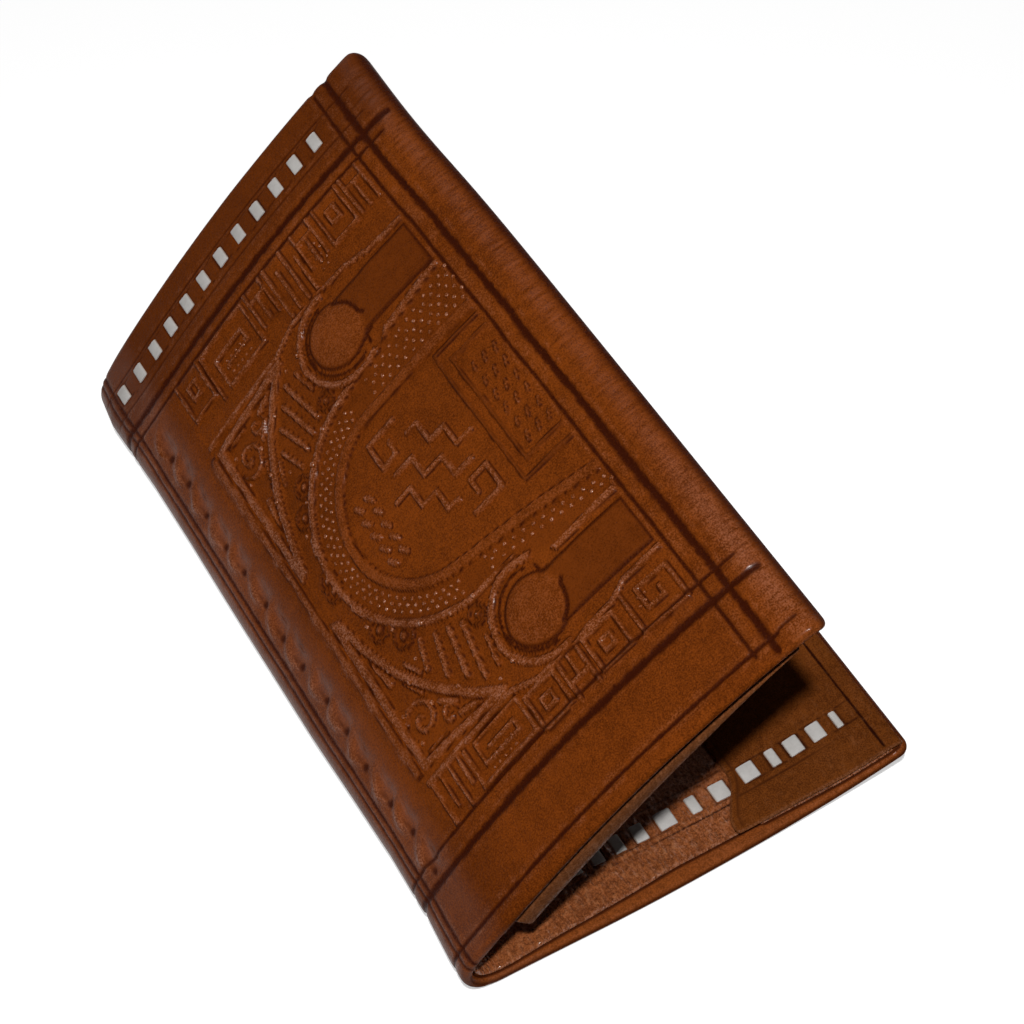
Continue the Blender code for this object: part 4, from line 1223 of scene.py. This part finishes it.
# The first sleeve has the turned hem, and starts a little past the layers above it
sleeveFacts = [{"hangs": (-1.5, 2.6), "start": -0.9, "rows": [], "rim": hemRim},
               {"hangs": (2.2, 2.8), "start": 0.1, "rows": [linerRow], "rim": layerRim}]
sleeves = []
for index, (top, mouth, facts) in enumerate(zip(sleeveTops, wallet["sleeveMouths"], sleeveFacts)):
    start = inner[0] + facts.pop("start")
    sleeves.append(makeLayer(
        "front_card_sleeve_skin_%d" % (index + 1), 1, **facts, faces=(top, top + wallet["sleeveThickness"]),
        reaches=(mouth, spineEnd - wallet["sleeveMargin"]),
        alongs=(start, inner[0] + wallet["sleeveLengths"][index]),
        lines=[((mouth + 2.2, 2.4), (mouth + 2.2, 200), 0.24, 0.12, 0.6)], steps=(0.9, 0.7, 1.6)))
print("inner layers made")


# Starts a Geometry Nodes tree that takes a mesh, some numbers and a material
def startTree(name, numbers):
    tree = bpy.data.node_groups.new(name, "GeometryNodeTree")
    kinds = {"Geometry": "Geometry", **{number: "Float" for number in numbers}, "Material": "Material"}
    for key, kind in kinds.items():
        tree.interface.new_socket(key, in_out="INPUT", socket_type="NodeSocket" + kind)
    tree.interface.new_socket("Geometry", in_out="OUTPUT", socket_type="NodeSocketGeometry")
    shape = Socket(tree)
    return shape, {key: shape.node("NodeGroupInput", {}, {}, key) for key in kinds}


def endTree(made, material):
    coloured = made.node("GeometryNodeSetMaterial", {}, {"Geometry": made, "Material": material}, "Geometry")
    made.node("NodeGroupOutput", {}, {"Geometry": coloured})
    return made.tree


# Geometry Nodes tree: a rounded strip along every curve made from the edges of a mesh
def laceTree():
    shape, given = startTree("lace_strip", ["Width", "Thickness", "Edge"])
    path = shape.node("GeometryNodeMeshToCurve", {}, {"Mesh": given["Geometry"]}, "Curve")
    section = shape.node("GeometryNodeCurvePrimitiveQuadrilateral", {},
                         {"Width": given["Width"], "Height": given["Thickness"]}, "Curve")
    rounded = shape.node("GeometryNodeFilletCurve", {"mode": "POLY"},
                         {"Curve": section, "Radius": given["Edge"], "Count": lacing["edgeSteps"]}, "Curve")
    swept = shape.node("GeometryNodeCurveToMesh", {},
                       {"Curve": path, "Profile Curve": rounded, "Fill Caps": True}, "Mesh")
    whole = shape.node("GeometryNodeRealizeInstances", {}, {"Geometry": swept}, "Geometry")
    return endTree(whole, given["Material"])


# Runs a tree on flat points and edges in mm and returns the points and faces that it makes
def runTree(name, tree, points, edges, inputs, attributes=None):
    source = bpy.data.meshes.new(name + "_source")
    source.from_pydata(points, edges, [])
    for key, values in (attributes or {}).items():
        source.attributes.new(key, "FLOAT", "POINT").data.foreach_set("value", values)
    holder = bpy.data.objects.new(name + "_source", source)
    bpy.context.scene.collection.objects.link(holder)
    modifier = holder.modifiers.new("Make", "NODES")
    modifier.node_group = tree
    sockets = {item.name: item.identifier for item in tree.interface.items_tree if item.in_out == "INPUT"}
    for key, value in inputs.items():
        modifier[sockets[key]] = value
    graph = bpy.context.evaluated_depsgraph_get()
    made = bpy.data.meshes.new_from_object(holder.evaluated_get(graph))
    bpy.data.objects.remove(holder)
    places = np.array([vertex.co for vertex in made.vertices], float)
    return places, [tuple(face.vertices) for face in made.polygons]


# Corners of a route of (reach, depth) points turned into short arcs
def roundedRoute(route, radius, steps):
    points = [np.array(route[0])]
    for before, here, after in zip(route, route[1:], route[2:]):
        before, here, after = np.array(before), np.array(here), np.array(after)
        back, on = before - here, after - here
        cut = min(radius, np.linalg.norm(back) / 2, np.linalg.norm(on) / 2)
        start, end = here + back / np.linalg.norm(back) * cut, here + on / np.linalg.norm(on) * cut
        for step in range(steps + 1):
            t = step / steps
            points.append((1 - t) ** 2 * start + 2 * t * (1 - t) * here + t ** 2 * end)
    points.append(np.array(route[-1]))
    return points


# Depth of the face seen inside a half. Only the row near the plain edge meets the sleeves.
def innerFace(side, reach, nearRow):
    if side < 0:
        return pocketUnder if reach > wallet["backPocketMouth"] else linerUnder
    if nearRow:
        for top, mouth in zip(sleeveTops[::-1], wallet["sleeveMouths"][::-1]):
            if reach > mouth:
                return top + wallet["sleeveThickness"]
    return pocketUnder if reach > wallet["frontPocketMouth"] else linerUnder


# Route of a woven lace: shown stands proud of the face it is seen on, hidden runs behind
def laceRoute(stitches, shown, hidden):
    (first, firstSize), (last, lastSize) = stitches[0], stitches[-1]
    route = [(first - firstSize / 2 - lacing["tail"], hidden(first - 2))]
    for middle, size in stitches:
        half = (size - lacing["thickness"]) / 2
        top = shown(middle)
        sign = 1 if top > hidden(middle) else -1
        route += [(middle - half, hidden(middle - half)), (middle - half, top),
                  (middle, top + sign * lacing["bow"]),
                  (middle + half, top), (middle + half, hidden(middle + half))]
    route.append((last + lastSize / 2 + lacing["tail"], hidden(last + 2)))
    return route


laceStrip = laceTree()


def makeLace(name, side, row, stitches, shown, hidden):
    route = roundedRoute(laceRoute(stitches, shown, hidden), lacing["turnRadius"], lacing["turnSteps"])
    places = [(reach, 0.0, depth) for reach, depth in route]
    steps = [(index, index + 1) for index in range(len(places) - 1)]
    made, faces = runTree(name, laceStrip, places, steps, {
        "Width": lacing["width"], "Thickness": lacing["thickness"], "Edge": lacing["edge"],
        "Material": laceLook})
    reach, across, depth = made[:, 0], made[:, 1], made[:, 2]
    pinch, dark = reach * 0 + lacing["pinch"], reach * 0 + 1.0
    for middle, size in stitches:
        away = np.abs(reach - middle)
        pinch = np.maximum(pinch, lacing["pinch"] + lacing["spread"] * soft(away, size / 2, 0.9))
        dark = np.minimum(dark, 1 - soft(away, size / 2 - 0.12, 0.5))
    across = across * pinch + 0.10 * smoothNoise(reach, reach, 2.3, 5, 81)
    depth = depth + 0.05 * smoothNoise(reach, across, 1.7, 1.3, 82)
    points = bend(side * (spineHalf + reach), row + across, depth) * mm
    return meshPiece(name, points, faces, laceLook, {"dark": dark}, 50)


laces = {}
for side, half in ((-1, "back"), (1, "front")):
    laces[half + "_cover_lace_strip"] = (
        side, lacing["coverRow"], coverStitches,
        lambda reach, side=side: lacing["thickness"] / 2 - lacing["proud"][side],
        lambda reach, side=side: innerFace(side, reach, False) + lacing["behind"])
    laces[half + "_liner_lace_strip"] = (
        side, lacing["linerRow"], linerStitches,
        lambda reach, side=side: innerFace(side, reach, True) - lacing["linerProud"],
        lambda reach: linerTop - lacing["linerProud"])
laceObjects = {name: makeLace(name, *facts) for name, facts in laces.items()}
print("laces made")


# Small pressed beads. Rows of the band are radii about the medallion's centre, a field is
# (reach, edge, other edge) at its two ends, singles are (reach, from the plain edge, size)
# and patches (reach, width, from, to).
beading = {
    "radius": 0.46, "height": 0.6, "segments": 9, "rings": 6, "worn": 9, "pitch": 1.95, "rowPitch": 1.35,
    "rows": {1: 21.55, 2: 22.8, 3: 24.05}, "arc": (96, 260),
    "fields": [((48.2, 54.7, 50.6), (74.6, 49.2, 46.5)), ((49.6, 96.2, 101.4), (74.6, 96.4, 105.8))],
    "singles": [(16.6, 37.4, 1.2), (21.8, 47.6, 1.2), (19.4, 52.8, 1.1), (29.6, 39.2, 1.1), (33.4, 33.0, 1.0),
                (23.0, 41.4, 1.3), (16.2, 44.4, 1.0), (30.6, 54.2, 1.4), (24.6, 58.4, 1.2), (20.4, 63.4, 1.2),
                (36.6, 50.6, 1.2), (41.2, 34.4, 1.1), (37.0, 34.0, 1.0), (25.2, 50.4, 1.0),
                (42.2, 49.6, 1.3)],
    "patches": [(26.4, 8.0, 22.6, 25.4), (65.6, 4.0, 24.4, 26.8), (27.0, 8.4, 126.2, 131.6),
                (56.2, 3.6, 126.0, 132.0)],
    "patchPitch": 1.5, "patchSize": 0.8,
}


# Geometry Nodes tree: a small low bead on every point of a mesh
def beadTree():
    shape, given = startTree("pressed_beads", ["Radius", "Height"])
    ball = shape.node("GeometryNodeMeshUVSphere", {}, {
        "Segments": beading["segments"], "Rings": beading["rings"], "Radius": given["Radius"]}, "Mesh")
    size = shape.node("GeometryNodeInputNamedAttribute", {"data_type": "FLOAT"}, {"Name": "size"},
                      "Attribute")
    flat = shape.node("ShaderNodeCombineXYZ", {}, {"X": 1.0, "Y": 1.0, "Z": given["Height"]}, "Vector")
    scale = shape.node("ShaderNodeVectorMath", {"operation": "SCALE"}, {"Vector": flat, "Scale": size},
                       "Vector")
    spread = shape.node("GeometryNodeInstanceOnPoints", {}, {
        "Points": given["Geometry"], "Instance": ball, "Scale": scale}, "Instances")
    whole = shape.node("GeometryNodeRealizeInstances", {}, {"Geometry": spread}, "Geometry")
    smooth = shape.node("GeometryNodeSetShadeSmooth", {}, {"Geometry": whole}, "Geometry")
    return endTree(smooth, given["Material"])


# Places of the beads on the medallion's band and in the corner fields, with sizes
def beadPlaces():
    beads, pitch = [], beading["pitch"]
    centreS, centreV = panel["centre"]
    start, end = beading["arc"]
    arcStep = pitch / beading["rows"][2]
    for row, radius in beading["rows"].items():
        for index in range(int(math.radians(end - start) / arcStep)):
            angle = math.radians(start) + (index + 0.5 * (row % 2) + 0.3) * arcStep
            beads.append((centreS + radius * math.cos(angle), centreV + radius * math.sin(angle), 1.0))
    for first, last in beading["fields"]:
        columns = int((last[0] - first[0]) / pitch)
        for column in range(columns):
            t = column / (columns - 1)
            reach, low, high = [a + (b - a) * t for a, b in zip(first, last)]
            rows = max(2, int(abs(high - low) / beading["rowPitch"]))
            for row in range(rows):
                beads.append((reach + 0.95 * (row % 2), low + (high - low) * (row + 0.5) / rows, 1.0))
    for reach, place, size in beading["singles"]:
        beads += [(reach, place, size), (reach, 2 * panel["middle"] - place, size)]
    pitch = beading["patchPitch"]
    for start, width, low, high in beading["patches"]:
        for column in range(int(width / pitch)):
            for row in range(int((high - low) / pitch) + 1):
                reach = start + pitch * column + 0.6 * (row % 2)
                beads.append((reach, low + pitch * row, beading["patchSize"]))
    return beads


beads = beadPlaces()
beadAt = np.array(beads)
co, beadFaces = runTree("front_beads", beadTree(), [(reach, place, 0.0) for reach, place, size in beads], [],
                        {"Radius": beading["radius"], "Height": beading["height"], "Material": coverLook},
                        {"size": beadAt[:, 2]})
lift = np.repeat(ornament(beadAt[:, 0], beadAt[:, 1])[0], len(co) // len(beads))
beadPoints = bend(spineHalf + co[:, 0], co[:, 1] + near, -co[:, 2] - lift) * mm
# Bead tops carry painted glints
beadPiece = meshPiece("front_beads", beadPoints, beadFaces, coverLook,
                      {"worn": np.clip(co[:, 2] * beading["worn"], 0, 3)}, 80)
print("beads made", len(beads))

# The cover and liner pieces take the place of their parts and stay where they are; the other pieces ride on
# their bodies
spineInset = 0.3


def foldPiece(piece, link, slot, *nodes):
    limits = [-spineHalf] + cutAt + [spineHalf]
    start, end = limits[link] + spineInset, limits[link + 1] - spineInset
    if link == 0:
        start, end = -spineHalf, limits[1] - spineInset
    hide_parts(*nodes)
    bendPoint(start, depth=1.1)
    bendPoint(end, depth=1.1)
    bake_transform(piece)


foldPiece(coverBack, 0, "cover_leather", "back_cover")
foldPiece(coverSpine[0], 1, "cover_leather", "spine_cover_1", "spine_cover_2")
foldPiece(coverSpine[1], 2, "cover_leather", "spine_cover_3")
foldPiece(coverFront, 3, "cover_leather", "front_cover")
foldPiece(backLiner, 0, "liner_leather", "back_liner")
foldPiece(spineLiners[0], 1, "liner_leather", "spine_liner_1", "spine_liner_2")
foldPiece(spineLiners[1], 2, "liner_leather", "spine_liner_3")
foldPiece(frontLiner, 3, "liner_leather", "front_liner")

riding = [(backPocket, "back_half", "pocket_leather", "back_pocket"),
          (frontPocket, "front_half", "pocket_leather", "front_pocket"),
          (sleeves[0], "front_half", "pocket_leather", "front_card_sleeve_1"),
          (sleeves[1], "front_half", "pocket_leather", "front_card_sleeve_2")]
for half in ("back", "front"):
    for row in ("cover", "liner"):
        node = "%s_%s_lace" % (half, row)
        riding.append((laceObjects[node + "_strip"], half + "_half", "lace", node))
for piece, body, slot, node in riding:
    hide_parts(node)
    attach(piece, body)
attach(beadPiece, "front_half")
print("pieces on their bodies")

# Camera, floor, world and lamps. The lamp levels are what a white surface facing them shows
studio = {
    "eye": Vector((-0.13915642, -0.2727657, 0.42135926)),
    "right": Vector((0.86762255, -0.49674449, -0.02181795)),
    "forward": Vector((0.28723469, 0.53654049, -0.79348631)),
    "lens": 91.5,
    "sensor": 36.0,
    "aim": Vector((0.0, 0.0, 0.03)),
    "floorSize": 6.0,
    "floorDrop": 0.05,
    "floorShown": 0.55,
    "skyLevel": 0.022,
    "key": {"from": Vector((-0.212, -0.386, 0.90)), "away": 0.9, "size": 0.05, "level": 0.80},
    "side": {"from": Vector((-0.92, 0.22, 0.34)), "away": 1.2, "size": 0.5, "level": 0.04},
}


def addCamera():
    data = bpy.data.cameras.new("camera")
    data.sensor_width, data.lens = studio["sensor"], studio["lens"]
    data.clip_start, data.clip_end = 0.01, 20
    camera = bpy.data.objects.new("camera", data)
    bpy.context.scene.collection.objects.link(camera)
    back = -studio["forward"].normalized()
    right = (studio["right"] - back * studio["right"].dot(back)).normalized()
    turn = Matrix((right, back.cross(right), back)).transposed()
    camera.matrix_world = Matrix.Translation(studio["eye"]) @ turn.to_4x4()
    bpy.context.scene.camera = camera


def seenDirectly(shade):
    light = [shade.node("ShaderNodeLightPath", {}, {}, name)
             for name in ("Is Camera Ray", "Is Glossy Ray", "Is Transmission Ray")]
    return (light[0] + light[1]).math("ADD", light[2], clamp=True)


def addFloor():
    material, shade = startMaterial("floor_look")
    seen = seenDirectly(shade)
    surface = shade.node("ShaderNodeBsdfPrincipled", {}, {
        "Base Color": seen.mix(rgb(0.07, 0.07, 0.07), rgb(0.8, 0.8, 0.8)), "Roughness": 0.9,
        "Specular IOR Level": 0.0,
        "Emission Color": seen.mix(rgb(0, 0, 0), rgb(1, 1, 1)), "Emission Strength": studio["floorShown"]})
    endMaterial(shade, surface)
    half = studio["floorSize"] / 2
    mesh = bpy.data.meshes.new("floor")
    drop = -studio["floorDrop"] * mm
    mesh.from_pydata([(-half, -half, drop), (half, -half, drop), (half, half, drop), (-half, half, drop)], [],
                     [(0, 1, 2, 3)])
    mesh.materials.append(material)
    floor = bpy.data.objects.new("floor", mesh)
    bpy.context.scene.collection.objects.link(floor)


def addWorld():
    world = bpy.data.worlds.new("studio")
    world.use_nodes = True
    world.node_tree.nodes.clear()
    shade = Socket(world.node_tree)
    level = studio["skyLevel"]
    strength = level + seenDirectly(shade) * (1 - level)
    sky = shade.node("ShaderNodeBackground", {}, {"Color": rgb(1, 1, 1), "Strength": strength})
    shade.node("ShaderNodeOutputWorld", {}, {"Surface": sky})
    bpy.context.scene.world = world


def addLamp(name):
    facts = studio[name]
    data = bpy.data.lights.new(name, "AREA")
    data.shape, data.size = "DISK", facts["size"]
    data.energy = facts["level"] * (math.pi * facts["away"]) ** 2
    lamp = bpy.data.objects.new(name, data)
    bpy.context.scene.collection.objects.link(lamp)
    direction = facts["from"].normalized()
    lamp.location = studio["aim"] + direction * facts["away"]
    lamp.rotation_mode = "QUATERNION"
    lamp.rotation_quaternion = direction.to_track_quat("Z", "Y")


addCamera()
addFloor()
addWorld()
addLamp("key")
addLamp("side")
bpy.context.scene.view_settings.view_transform = "Standard"
print("stage set")
